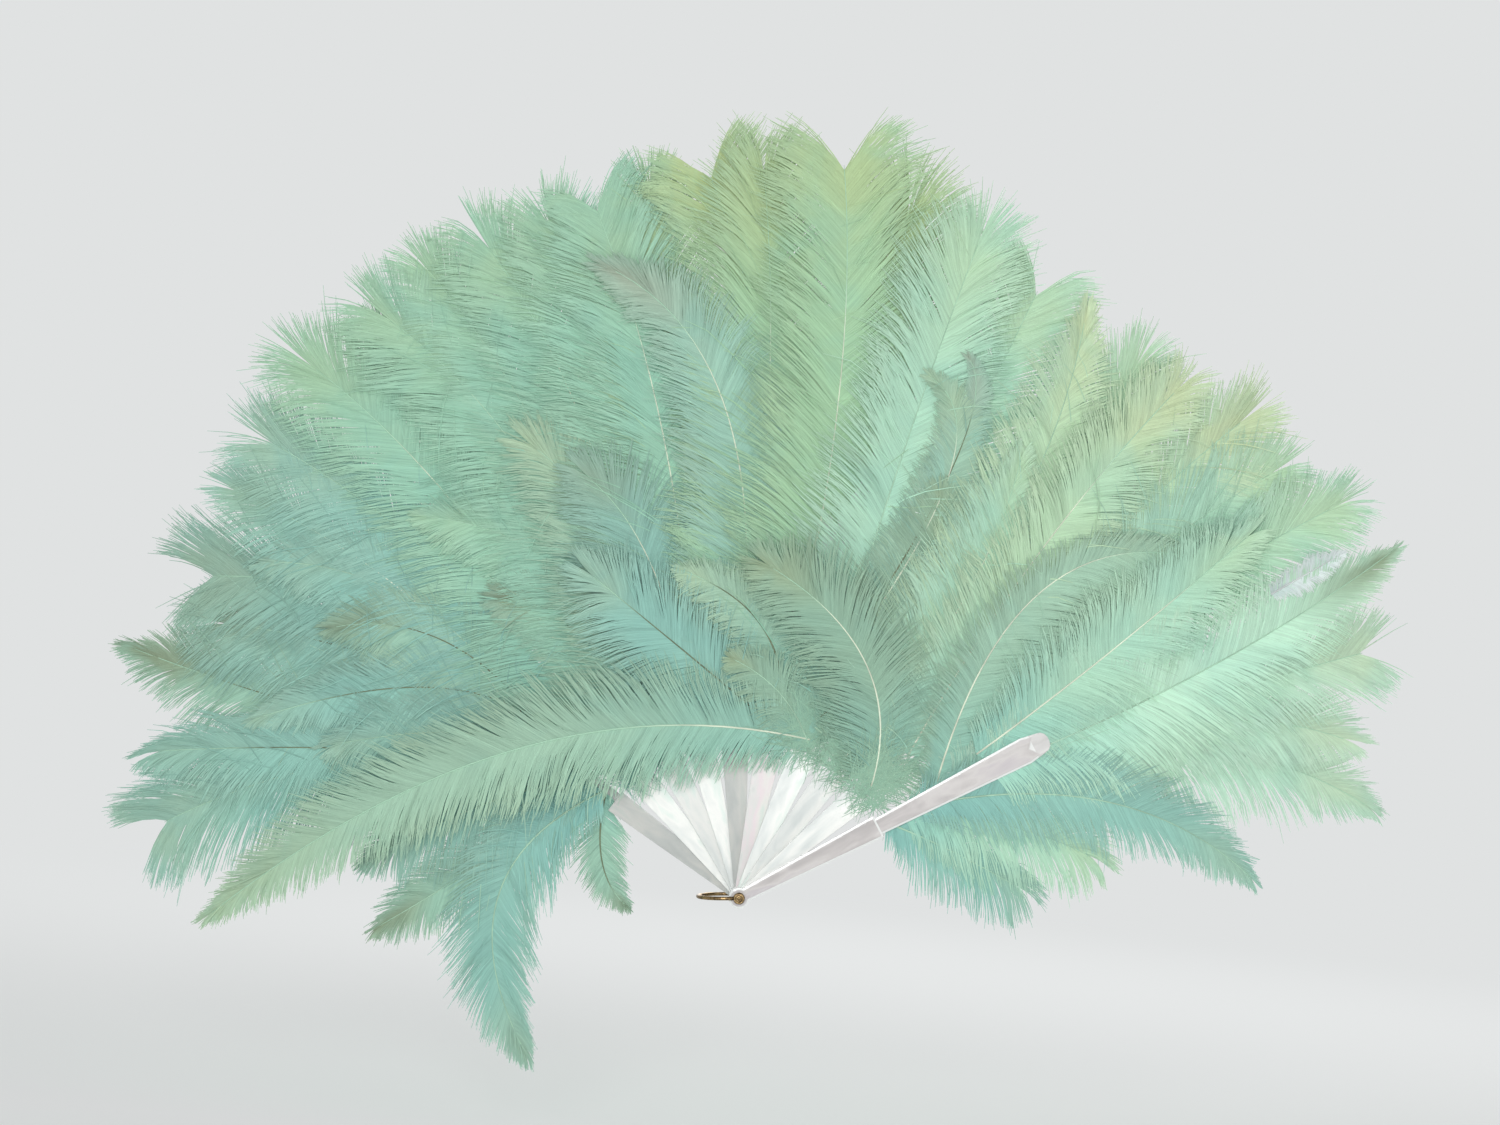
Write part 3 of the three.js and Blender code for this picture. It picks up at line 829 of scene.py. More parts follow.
PEARL_WHITE = PearlFinish(
    "pearl_white",
    (
        (0.0, (182, 190, 189)),
        (0.3, (207, 211, 208)),
        (0.5, (218, 219, 215)),
        (0.68, (200, 213, 207)),
        (0.84, (214, 204, 208)),
        (1.0, (199, 204, 212)),
    ),
)
PEARL_BRIGHT = PearlFinish(
    "pearl_bright",
    (
        (0.0, (190, 198, 197)),
        (0.3, (220, 224, 221)),
        (0.5, (234, 235, 231)),
        (0.68, (212, 225, 218)),
        (0.84, (228, 218, 221)),
        (1.0, (212, 218, 226)),
    ),
)
PEARL_ROSE = PearlFinish(
    "pearl_rose",
    (
        (0.0, (178, 184, 183)),
        (0.3, (206, 207, 204)),
        (0.48, (215, 203, 206)),
        (0.62, (214, 212, 208)),
        (0.8, (190, 210, 200)),
        (1.0, (206, 200, 212)),
    ),
)
PEARL_GREY = PearlFinish(
    "pearl_grey",
    (
        (0.0, (150, 154, 152)),
        (0.4, (168, 172, 169)),
        (0.6, (181, 182, 177)),
        (0.8, (166, 176, 170)),
        (1.0, (174, 168, 172)),
    ),
)
PEARL_BEIGE = PearlFinish(
    "pearl_beige",
    (
        (0.0, (156, 152, 151)),
        (0.35, (180, 175, 174)),
        (0.55, (196, 192, 190)),
        (0.75, (184, 178, 181)),
        (1.0, (206, 206, 204)),
    ),
)


@dataclass(frozen=True)
class BrassFinish:
    """Old brass: brown tarnish with brighter rubbed patches."""

    name: str = "aged_brass"
    bright: Colour = (156, 132, 94)
    dark: Colour = (98, 80, 57)
    tarnish: Cloud = Cloud(420.0, 5.0, 0.8)
    rubbed_range: Span = (0.36, 0.66)
    pits: Cloud = Cloud(2600.0, 3.0)
    bump_strength: float = 0.2
    bump_height: float = 0.0001
    roughness: float = 0.36
    gloss: float = 0.14  # how much less rough the rubbed patches are

    def make(self) -> bpy.types.Material:
        """Builds the material.

        Returns:
            The material.
        """
        recipe = Recipe.material(self.name)
        rubbed = recipe.rise(recipe.noise(self.tarnish), *self.rubbed_range)
        return recipe.finish(
            {
                "Base Color": recipe.mix(rubbed, linear(self.dark), linear(self.bright)),
                "Metallic": 1.0,
                "Roughness": self.roughness - rubbed * self.gloss,
                "Normal": recipe.bump(self.bump_strength, self.bump_height, recipe.noise(self.pits)),
            }
        )


class Strand:
    """A closed thin strand that is made once and then laid along many lines."""

    def __init__(self, sides: int, rings: int) -> None:
        """Makes a straight prism and cuts rings into it.

        Args:
            sides: Number of sides round the strand.
            rings: Number of lengths between its ends.
        """
        mesh = bmesh.new()
        bmesh.ops.create_cone(mesh, cap_ends=True, segments=sides, radius1=1, radius2=1, depth=rings)
        bmesh.ops.translate(mesh, verts=mesh.verts, vec=(0, 0, rings / 2))
        for step in range(1, rings):
            whole = mesh.verts[:] + mesh.edges[:] + mesh.faces[:]
            bmesh.ops.bisect_plane(mesh, geom=whole, plane_co=(0, 0, step), plane_no=(0, 0, 1))
        mesh.verts.index_update()
        self.ring = np.array([round(corner.co.z) for corner in mesh.verts])
        self.reach = self.ring / rings
        self.section = np.array([corner.co[:2] for corner in mesh.verts])
        self.faces = [[corner.index for corner in face.verts] for face in mesh.faces]
        mesh.free()

    def lay(self, lines: np.ndarray, width: np.ndarray, depth: np.ndarray, tilt: float = 0.0) -> np.ndarray:
        """Bends copies of the strand along lines that lie nearly flat on the fan.

        Args:
            lines: Centre lines in millimetres, one row of points for each strand.
            width: Half width across the fan's face at each point.
            depth: Half depth at each point, towards the front.
            tilt: How far each strand's face leans to its side, in radians.

        Returns:
            The corners of every strand.
        """
        heading = np.gradient(lines, axis=1)
        heading[..., 1] = 0
        heading /= np.linalg.norm(heading, axis=2, keepdims=True) + TINY
        side = np.stack([-heading[..., 2], heading[..., 1], heading[..., 0]], axis=2)
        flat = self.section[:, 0] * width[:, self.ring]
        proud = self.section[:, 1] * depth[:, self.ring]
        across = flat * math.cos(tilt) - proud * math.sin(tilt)
        corners = lines[:, self.ring] + across[..., None] * side[:, self.ring]
        corners[..., 1] -= flat * math.sin(tilt) + proud * math.cos(tilt)
        return corners

    def faces_of(self, count: int) -> list[list[int]]:
        """Lists the faces of many strands.

        Args:
            count: Number of strands.

        Returns:
            Each face by its corner numbers: one face of every strand, then the next face of every strand.
        """
        starts = len(self.ring) * np.arange(count)
        listed: list[list[int]] = []
        for face in self.faces:
            listed.extend((starts[:, None] + np.array(face)).tolist())
        return listed

    def marks(self, place: np.ndarray, tone: np.ndarray, heights: Span) -> Marks:
        """Works out what a material reads from many strands.

        Args:
            place: Each strand's place along its plume.
            tone: Each strand's tone, which on a plume also holds the painted shade of its half of the vane.
            heights: Where the strands' roots and ends lie on the unwrapped map.

        Returns:
            The marks of every corner, and its place on the map.
        """
        low, high = heights
        shape = (len(place), len(self.reach))
        columns = (place[:, None], self.reach, tone[:, None])
        rows = np.stack([np.broadcast_to(column, shape) for column in columns], axis=2)
        lane = (np.arange(len(place))[:, None] + 0.5 + LANE_SHARE * self.section[:, 0]) / len(place)
        spots = np.stack([lane, np.broadcast_to(low + (high - low) * self.reach, shape)], axis=2)
        return rows.reshape(-1, 3), spots.reshape(-1, 2)


class Bundle:
    """Gathers the strands of one piece."""

    def __init__(self) -> None:
        """Starts empty."""
        self.corners: list[np.ndarray] = []
        self.faces: list[list[int]] = []
        self.rows: list[np.ndarray] = []
        self.spots: list[np.ndarray] = []
        self.looks: list[np.ndarray] = []
        self.count = 0

    def add(
        self, corners: np.ndarray, faces: list[list[int]], marks: Marks, material: int, rounded: bool
    ) -> None:
        """Adds strands.

        Args:
            corners: Corners in millimetres.
            faces: Faces by the numbers of these corners.
            marks: What the material reads at each corner, and its place on the unwrapped map.
            material: Number of the material.
            rounded: True where the faces are shaded as one smooth surface.
        """
        points = corners.reshape(-1, 3)
        self.corners.append(points * MM)
        self.faces.extend([number + self.count for number in face] for face in faces)
        self.rows.append(marks[0])
        self.spots.append(marks[1])
        self.looks.append(np.tile([material, rounded], (len(faces), 1)))
        self.count += len(points)

    def piece(self, name: str, materials: Sequence[bpy.types.Material]) -> bpy.types.Object:
        """Makes the mesh and its object.

        Args:
            name: The piece's name.
            materials: Its materials by number.

        Returns:
            The piece.
        """
        mesh = bpy.data.meshes.new(name)
        mesh.from_pydata(np.concatenate(self.corners).tolist(), [], self.faces)
        attribute = mesh.attributes.new(BARB_MARKS, "FLOAT_VECTOR", "POINT")
        attribute.data.foreach_set("vector", np.concatenate(self.rows).astype(np.float32).ravel())
        corner = np.zeros(len(mesh.loops), np.int32)
        mesh.loops.foreach_get("vertex_index", corner)
        layer = mesh.uv_layers.new(name="OFBake")
        spots = np.concatenate(self.spots)[corner]
        layer.data.foreach_set("uv", spots.astype(np.float32).ravel())
        for material in materials:
            mesh.materials.append(material)
        looks = np.concatenate(self.looks)
        mesh.polygons.foreach_set("material_index", looks[:, 0].astype(np.int32))
        mesh.polygons.foreach_set("use_smooth", looks[:, 1].astype(bool))
        return show(name, mesh)


class Spine:
    """The line of a quill over the fan's face."""

    SAMPLES = 241

    def __init__(self, root: np.ndarray, middle: np.ndarray, tip: np.ndarray) -> None:
        """Draws the curve from the root through the middle to the tip.

        Args:
            root: Where the quill leaves its blade, across and up, in millimetres.
            middle: Where it is half way.
            tip: Where the plume ends.
        """
        control = 2 * middle - (root + tip) / 2
        share = np.linspace(0, 1, self.SAMPLES)[:, None]
        line = (1 - share) ** 2 * root + 2 * share * (1 - share) * control + share**2 * tip
        steps = np.linalg.norm(np.diff(line, axis=0), axis=1)
        self.line = line
        self.travel = np.concatenate([[0.0], np.cumsum(steps)])
        self.length = float(self.travel[-1])
        along = np.gradient(line, axis=0)
        self.along = along / np.linalg.norm(along, axis=1, keepdims=True)

    def _read(self, table: np.ndarray, share: np.ndarray) -> np.ndarray:
        """Reads a table of the curve at shares of its length."""
        where = share * self.length
        return np.stack([np.interp(where, self.travel, table[:, axis]) for axis in (0, 1)], axis=1)

    def at(self, share: np.ndarray) -> tuple[np.ndarray, np.ndarray]:
        """Finds places on the curve.

        Args:
            share: Shares of the curve's length.

        Returns:
            The places, and the curve's direction there.
        """
        return self._read(self.line, share), self._read(self.along, share)


@dataclass(frozen=True)
class Half:
    """The barbs on one side of a quill."""

    lines: np.ndarray
    width: np.ndarray
    place: np.ndarray
    # tone: each barb's random tone together with the painted shade of its half of the vane
    tone: np.ndarray


class Workshop:
    """The strands and materials that all plumes share."""

    def __init__(self) -> None:
        """Makes the strands and every finish once."""
        self.barb = Strand(BARB_SIDES, BARB_RINGS)
        self.shaft = Strand(SHAFT_SIDES, SHAFT_RINGS)
        self.vanes = {dye: VaneFinish(dye).make() for dye in Dye}
        self.shafts = {shaft: ShaftFinish(shaft).make() for shaft in Shaft}
        self.slots = {row["node"]: row["material_slot"] for row in frame["record"]["subparts"]}


class Feather:
    """Builds one plume as a piece."""

    ROOT_LENGTH = 0.5  # share of the full barb length at the root
    FULL_AT = 0.22  # where along the quill the barbs reach their full length
    FALL = 1.7  # how late they shorten towards the tip
    OFF_PLACE = 0.15  # how far a barb stands off its even place, as a share of the spacing
    CLUMP = (2, 8)  # barbs in a clump, from the first number up to one less than the last
    ANGLE_LIMITS = (2, 88)
    BEND_LATE = 1.6  # how late along a barb its bend comes
    DROOP = 2.4  # how far the barbs turn down for the droop of the plume's row
    DROOP_LATE = 1.5
    CAMBER = 0.4  # how far forward the barbs' ends curve
    GATHER = 0.13  # how far the ends of a clump draw together
    GATHER_FROM = 0.5  # where along the barbs that starts
    STRAYS = 0.06  # share of the barbs that leave their clump
    STRAY_LENGTH = 0.2
    STRAY_ANGLE = 9.0
    STRAY_LIFT = 1.8  # how far they stand out of the vane
    LIFT_LIMIT = 4.5
    SPLAY = 2.0  # how much more unevenly the barbs stand at the tip
    SPLAY_FROM = 0.8  # where along the quill that starts
    FILL_FROM = 0.9  # where along the quill the barbs start to fill in the tip
    KNOTS = 14  # places between which a slow wander runs straight

    def __init__(self, shop: Workshop, blade: int, plume: Plume, seed: int) -> None:
        """Places the plume on its blade.

        Args:
            shop: Shared strands and materials.
            blade: The blade's number, from the front guard.
            plume: The plume's row.
            seed: Start of its own random numbers.
        """
        self.shop = shop
        self.plume = plume
        self.lean = blade_lean(blade)
        self.blade_name = blade_name(blade)
        self.outermost = blade in (0, LAST_BLADE)
        self.random = np.random.default_rng(seed)
        self.name = f"{self.blade_name}_{plume.name}"
        self.node = f"{self.blade_name}_{plume.beside}" if plume.beside else self.name
        low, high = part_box(self.node)
        self.level = (low.y + high.y) / 2 / MM - plume.forward + (plume.nudge if plume.beside else 0.0)
        root = self._place((plume.turn, SHOULDER_REACH + plume.above))
        self.spine = Spine(root, self._place(plume.middle), self._place(plume.tip))
        end = plume.end
        self.longest = VANE_REACH * plume.width / 2 / math.sin(math.radians(VANE_ANGLE))
        last_angle = math.radians(end.angle * (1 - end.fill / 2) + BARB_BEND / 2)
        self.quill_end = 1 - end.share * self.longest * math.cos(last_angle) / self.spine.length

    def _place(self, polar: Polar) -> np.ndarray:
        """Turns an angle from the blade and a reach into a place on the fan's face."""
        angle = math.radians(self.lean + polar[0])
        return np.array([polar[1] * math.sin(angle), polar[1] * math.cos(angle)])

    def _depth(self, flat: np.ndarray) -> np.ndarray:
        """Finds how far back the plume's layer lies, which spreads out towards the rim.

        Args:
            flat: Places on the fan's face.

        Returns:
            The depth at each place.
        """
        reach = np.linalg.norm(flat, axis=-1)
        out = np.clip((reach - FLARE_REACH) / (RIM_REACH - FLARE_REACH), 0, 1)
        return self.level * (1 + DEPTH_FLARE * out)

    def _places(self) -> np.ndarray:
        """Spaces the barbs of one side along the quill, closer near the tip, where they spread out.

        Returns:
            Each barb's place, from 0 at the root to 1 at the quill's end.
        """
        share = np.linspace(0, 1, Spine.SAMPLES)
        crowd = np.interp(share, *zip(*BARB_CROWD))
        passed = np.cumsum(crowd) / Spine.SAMPLES
        count = int(self.spine.length * self.quill_end * passed[-1] / BARB_SPACING)
        place = np.interp(np.linspace(0, passed[-1], count), passed, share)
        return np.clip(place + self.random.normal(0, self.OFF_PLACE / count, count), 0, 1)

    def _clumps(self, count: int) -> np.ndarray:
        """Groups neighbouring barbs.

        Args:
            count: Number of barbs on one side.

        Returns:
            The number of the barb in the middle of each barb's clump.
        """
        centre = np.zeros(count, int)
        start = 0
        while start < count:
            size = int(self.random.integers(*self.CLUMP))
            centre[start : start + size] = min(start + size // 2, count - 1)
            start += size
        return centre

    def _vary(self, ruffle: Ruffle, centre: np.ndarray) -> np.ndarray:
        """Draws a spread of numbers for the barbs of one side.

        Args:
            ruffle: How far they differ.
            centre: The middle barb of each barb's clump.

        Returns:
            One number for each barb.
        """
        count = len(centre)
        each = self.random.normal(0, ruffle.each, count)
        return each + self.random.normal(0, ruffle.clump, count)[centre]

    def _wander(self, ruffle: Ruffle, place: np.ndarray) -> np.ndarray:
        """Draws a slow wander along the plume at the barbs' places on the quill."""
        knots = self.random.normal(0, ruffle.slow, self.KNOTS)
        return np.interp(place, np.linspace(0, 1, self.KNOTS), knots)

    def _length(self, place: np.ndarray) -> np.ndarray:
        """Finds how long the barbs are.

        Args:
            place: Places along the quill.

        Returns:
            The length at each place.
        """
        end = self.plume.end
        fall = np.clip((place - end.narrows) / (1 - end.narrows), 0, 1) ** self.FALL
        rise = self.ROOT_LENGTH + (1 - self.ROOT_LENGTH) * smooth(0, self.FULL_AT, place)
        return self.longest * rise * (1 - (1 - end.share) * fall)

    def _angle(self, place: np.ndarray, centre: np.ndarray, stray: np.ndarray) -> np.ndarray:
        """Draws how far the barbs stand off the quill.

        Args:
            place: Where along the quill each barb starts.
            centre: The middle barb of each barb's clump.
            stray: True for the barbs that leave their clump.

        Returns:
            Each barb's angle, in degrees.
        """
        end = self.plume.end
        stops, angles = zip(*BARB_ANGLES, (1.0, end.angle))
        angle = np.interp(place, stops, angles) + self._wander(ANGLES, place)
        angle *= 1 - end.fill * smooth(self.FILL_FROM, 1, place) * self.random.random(len(place))
        angle += self._vary(ANGLES, centre) * (1 + self.SPLAY * smooth(self.SPLAY_FROM, 1, place))
        return angle + stray * self.random.normal(0, self.STRAY_ANGLE, len(place))

    def _lift(self, place: np.ndarray, centre: np.ndarray, stray: np.ndarray) -> np.ndarray:
        """Draws how far the barbs' ends stand back from the vane.

        The strays of a guard's leaf lean inwards, so that none of them crosses the guard's arm.

        Args:
            place: Where along the quill each barb starts.
            centre: The middle barb of each barb's clump.
            stray: True for the barbs that leave their clump.

        Returns:
            Each barb's lift.
        """
        lift = self._wander(LIFTS, place) + self._vary(LIFTS, centre)
        loose = self.random.normal(0, self.STRAY_LIFT, len(place))
        loose = np.clip(loose, -self.LIFT_LIMIT, self.LIFT_LIMIT)
        if self.outermost:
            loose = -np.sign(self.level) * np.abs(loose)
        return lift + stray * loose

    def _across(self, hand: int, place: np.ndarray) -> tuple[np.ndarray, np.ndarray, np.ndarray]:
        """Finds places on the quill, its direction there, and the direction out to one side."""
        base, along = self.spine.at(place * self.quill_end)
        return base, along, hand * np.stack([along[:, 1], -along[:, 0]], axis=1)

    def _sweep(
        self, hand: int, place: np.ndarray, length: np.ndarray, angle: np.ndarray, bend: np.ndarray
    ) -> np.ndarray:
        """Draws lines out from the quill.

        Args:
            hand: 1 for the right side of the quill, -1 for the left.
            place: Where along the quill each line starts.
            length: Each line's length.
            angle: How far it stands off the quill, in degrees.
            bend: How much further its end turns away.

        Returns:
            A row of points on the fan's face for each line.
        """
        base, along, across = self._across(hand, place)
        bent = bend[:, None] * MIDDLES**self.BEND_LATE
        turn = np.radians(np.clip(angle, *self.ANGLE_LIMITS)[:, None] + bent)
        heading = np.cos(turn)[..., None] * along[:, None] + np.sin(turn)[..., None] * across[:, None]
        heading[..., 1] -= self.plume.droop * self.DROOP * MIDDLES**self.DROOP_LATE
        heading /= np.linalg.norm(heading, axis=2, keepdims=True)
        walk = np.cumsum(heading * (length / BARB_RINGS)[:, None, None], axis=1)
        return base[:, None] + np.concatenate([np.zeros((len(place), 1, 2)), walk], axis=1)

    def _raise(self, flat: np.ndarray, lift: np.ndarray) -> np.ndarray:
        """Puts lines on the plume's layer.

        Args:
            flat: Points on the fan's face.
            lift: How far back each line's end lies.

        Returns:
            The points in space.
        """
        deep = self._depth(flat) + lift[:, None] * STEPS - self.CAMBER * STEPS**2
        return np.stack([flat[..., 0], deep, flat[..., 1]], axis=2)

    def _painted_half_shade(self, hand: int, place: np.ndarray) -> np.ndarray:
        """The painted shade of one half of the vane: the half that faces up and to the left is painted a
        little darker.
        """
        return MIDDLE_TONE - HALF_PAINTED_SHADE * self._across(hand, place)[2] @ np.array(PAINTED_SHADE_SIDE)

    def _side(self, hand: int) -> Half:
        """Draws one half of the vane.

        Args:
            hand: 1 for the right side of the quill, -1 for the left.

        Returns:
            The half.
        """
        place = self._places()
        count = len(place)
        centre = self._clumps(count)
        stray = self.random.random(count) < self.STRAYS
        longer = self._vary(LENGTHS, centre) + stray * self.random.uniform(0, self.STRAY_LENGTH, count)
        angle = self._angle(place, centre, stray)
        bend = BARB_BEND + self._wander(BENDS, place) + self._vary(BENDS, centre)
        lift = self._lift(place, centre, stray)
        length = self._length(place) * (1 + longer) * (self.plume.left if hand < 0 else 1)
        flat = self._sweep(hand, place, length, angle, bend)
        wave = (self._wander(WAVES, place) + self._vary(WAVES, centre)) * length
        along = self._across(hand, place)[1]
        flat += (wave[:, None] * np.sin(math.tau * STEPS))[..., None] * along[:, None]
        gather = self.random.uniform(0.0, self.GATHER, count)[centre] * (1 - stray)
        flat += (flat[centre] - flat) * (gather[:, None] * smooth(self.GATHER_FROM, 1, STEPS))[..., None]
        thick = 1 + self.random.uniform(-BARB_UNEVEN, BARB_UNEVEN, (count, 1))
        width = BARB_END + BARB_WIDTH * (1 - STEPS) ** TAPER_POWER * thick
        # painted shade: the half that faces up and to the left is darker, on top of each barb's random tone
        tone = np.clip(self._painted_half_shade(hand, place) + self._vary(TONES, centre), 0, 1)
        return Half(self._raise(flat, lift), width, place, tone)

    def _shaft(self) -> tuple[np.ndarray, np.ndarray]:
        """Draws the quill.

        Returns:
            Its line and its half widths.
        """
        share = np.linspace(0, 1, SHAFT_RINGS + 1)
        flat, _ = self.spine.at(share * min(1.0, self.quill_end + SHAFT_OVER))
        deep = self._depth(flat) - SHAFT_PROUD
        line = np.stack([flat[:, 0], deep, flat[:, 1]], axis=1)[None]
        half = (SHAFT_END + SHAFT_TAPER * (1 - share) ** TAPER_POWER)[None]
        return line, half

    def build(self) -> bpy.types.Object:
        """Makes the plume and sets it on its body.

        Returns:
            The piece.
        """
        barb, quill = self.shop.barb, self.shop.shaft
        bundle = Bundle()
        for hand, heights in ((-1, MAP_LEFT), (1, MAP_RIGHT)):
            half = self._side(hand)
            strands = barb.lay(half.lines, half.width, half.width * BARB_DEPTH, -hand * BARB_TILT)
            marks = barb.marks(half.place, half.tone, heights)
            bundle.add(strands, barb.faces_of(len(half.place)), marks, 0, False)
        line, half_width = self._shaft()
        still = np.zeros_like(quill.reach)
        rows = np.stack([quill.reach, still, still], axis=1)
        middle, height = MAP_SHAFT
        spots = np.stack([quill.reach, middle + height * quill.section[:, 0]], axis=1)
        bundle.add(quill.lay(line, half_width, half_width), quill.faces, (rows, spots), 1, True)
        materials = (self.shop.vanes[self.plume.dye], self.shop.shafts[self.plume.shaft])
        piece = bundle.piece(self.name if self.plume.beside else self.name + "_vane", materials)
        if not self.plume.beside:
            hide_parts(self.node)
        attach(piece, self.blade_name + "_leaf")
        return piece


class DownTuft:
    """Builds the soft down that hides the top of a stick, where its plumes are tied on."""

    COUNT = 560
    FIRST_SEED = 100
    BLUE_FROM = 4  # the first stick with bluer down
    SPAN = 10.0  # how far to each side of the stick's middle the strands' roots lie
    LOW = 77.0  # how far from the rivet the first of them lie
    HIGH = 100.0
    PROUD = 0.16  # how far the down stands in front of the stick
    HANGING = 0.42  # share of the strands that hang over the stick
    HANGING_LENGTH = (6, 14)
    STANDING_LENGTH = (12, 28)
    TURN_SPREAD = 0.8  # how far the strands' directions differ, in radians
    CURL_SPREAD = 0.7
    LIFT_SPREAD = 0.05
    HALF_WIDTH = 0.22
    NARROWING = 0.6  # share of the width that is lost at the end
    DEPTH = 0.4  # share of the width
    TONE_SPREAD = 0.22
    PLACE = 0.3  # the place along a plume where the vane has the down's tint

    def __init__(self, shop: Workshop, blade: int) -> None:
        """Notes where the stick's face is.

        Args:
            shop: Shared strands and materials.
            blade: The stick's number.
        """
        self.shop = shop
        self.blade_name = blade_name(blade)
        self.lean = math.radians(blade_lean(blade))
        self.dye = Dye.AQUA if blade >= self.BLUE_FROM else Dye.SAGE
        self.random = np.random.default_rng(self.FIRST_SEED + blade)
        self.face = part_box(self.blade_name)[0].y / MM - self.PROUD

    def _lines(self) -> np.ndarray:
        """Draws the strands: most stand out along the plumes, and some hang over the stick.

        Returns:
            Their lines.
        """
        count = self.COUNT
        across = self.random.uniform(-self.SPAN, self.SPAN, count)
        up = self.random.uniform(self.LOW, self.HIGH, count)
        hanging = self.random.random(count) < self.HANGING
        turn = self.random.normal(0, self.TURN_SPREAD, count) + hanging * math.pi
        short = self.random.uniform(*self.HANGING_LENGTH, count)
        long = self.random.uniform(*self.STANDING_LENGTH, count)
        length = np.where(hanging, short, long)
        curl = self.random.normal(0, self.CURL_SPREAD, count)
        heading = turn[:, None] + curl[:, None] * MIDDLES + self.lean
        step = np.stack([np.sin(heading), np.cos(heading)], axis=2) * (length / BARB_RINGS)[:, None, None]
        root = np.stack(
            [
                across * math.cos(self.lean) + up * math.sin(self.lean),
                up * math.cos(self.lean) - across * math.sin(self.lean),
            ],
            axis=1,
        )
        flat = root[:, None] + np.concatenate([np.zeros((count, 1, 2)), np.cumsum(step, axis=1)], axis=1)
        deep = self.face - np.abs(self.random.normal(0, self.LIFT_SPREAD, count))[:, None] * STEPS
        return np.stack([flat[..., 0], deep, flat[..., 1]], axis=2)

    def build(self) -> bpy.types.Object:
        """Makes the tuft and sets it on the stick's body.

        Returns:
            The piece.
        """
        strand = self.shop.barb
        lines = self._lines()
        width = self.HALF_WIDTH * (1 - self.NARROWING * STEPS) * np.ones((self.COUNT, 1))
        tone = np.clip(self.random.normal(MIDDLE_TONE, self.TONE_SPREAD, self.COUNT), 0, 1)
        marks = strand.marks(np.full(self.COUNT, self.PLACE), tone, MAP_WHOLE)
        corners = strand.lay(lines, width, width * self.DEPTH)
        bundle = Bundle()
        bundle.add(corners, strand.faces_of(self.COUNT), marks, 0, False)
        piece = bundle.piece(self.blade_name + "_down", [self.shop.vanes[self.dye]])
        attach(piece, self.blade_name + "_leaf")
        return piece


@dataclass(frozen=True)
class Blades:
    """The ten mother-of-pearl blades from the front guard on, which keep their own solids."""

    pearls: tuple[PearlFinish, ...] = (
        PEARL_BEIGE,
        PEARL_BRIGHT,
        PEARL_WHITE,
        PEARL_BRIGHT,
        PEARL_ROSE,
        PEARL_GREY,
        PEARL_BRIGHT,
        PEARL_WHITE,
        PEARL_BRIGHT,
        PEARL_GREY,
    )
    guard_band: float = 0.9  # how deep a guard's slopes reach
    stick_band: float = 0.26
    arm_recess: float = 0.3  # how far a guard's arm is set back
    arm_nose: float = 164.5  # how far from the rivet its carved nose starts

    def _cut(self, blade: int) -> Cut:
        """Finds where a blade's bevelled edges lie.

        Args:
            blade: Its number from the front.

        Returns:
            The blade's cut.
        """
        low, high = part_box(blade_name(blade))
        if blade == 0:
            return Cut(low.y / MM, 1.0, self.guard_band, self.arm_recess, self.arm_nose)
        if blade == LAST_BLADE:
            return Cut(high.y / MM, -1.0, self.guard_band, self.arm_recess, self.arm_nose)
        return Cut(low.y / MM, 1.0, self.stick_band)

    def dress(self) -> None:
        """Gives each blade its pearl."""
        for blade, finish in enumerate(self.pearls):
            node = frame["nodes"][blade_name(blade)]
            node.data.materials.clear()
            node.data.materials.append(finish.make(blade_lean(blade), self._cut(blade)))
            LOG.info("%s wears %s", node.name, finish.name)


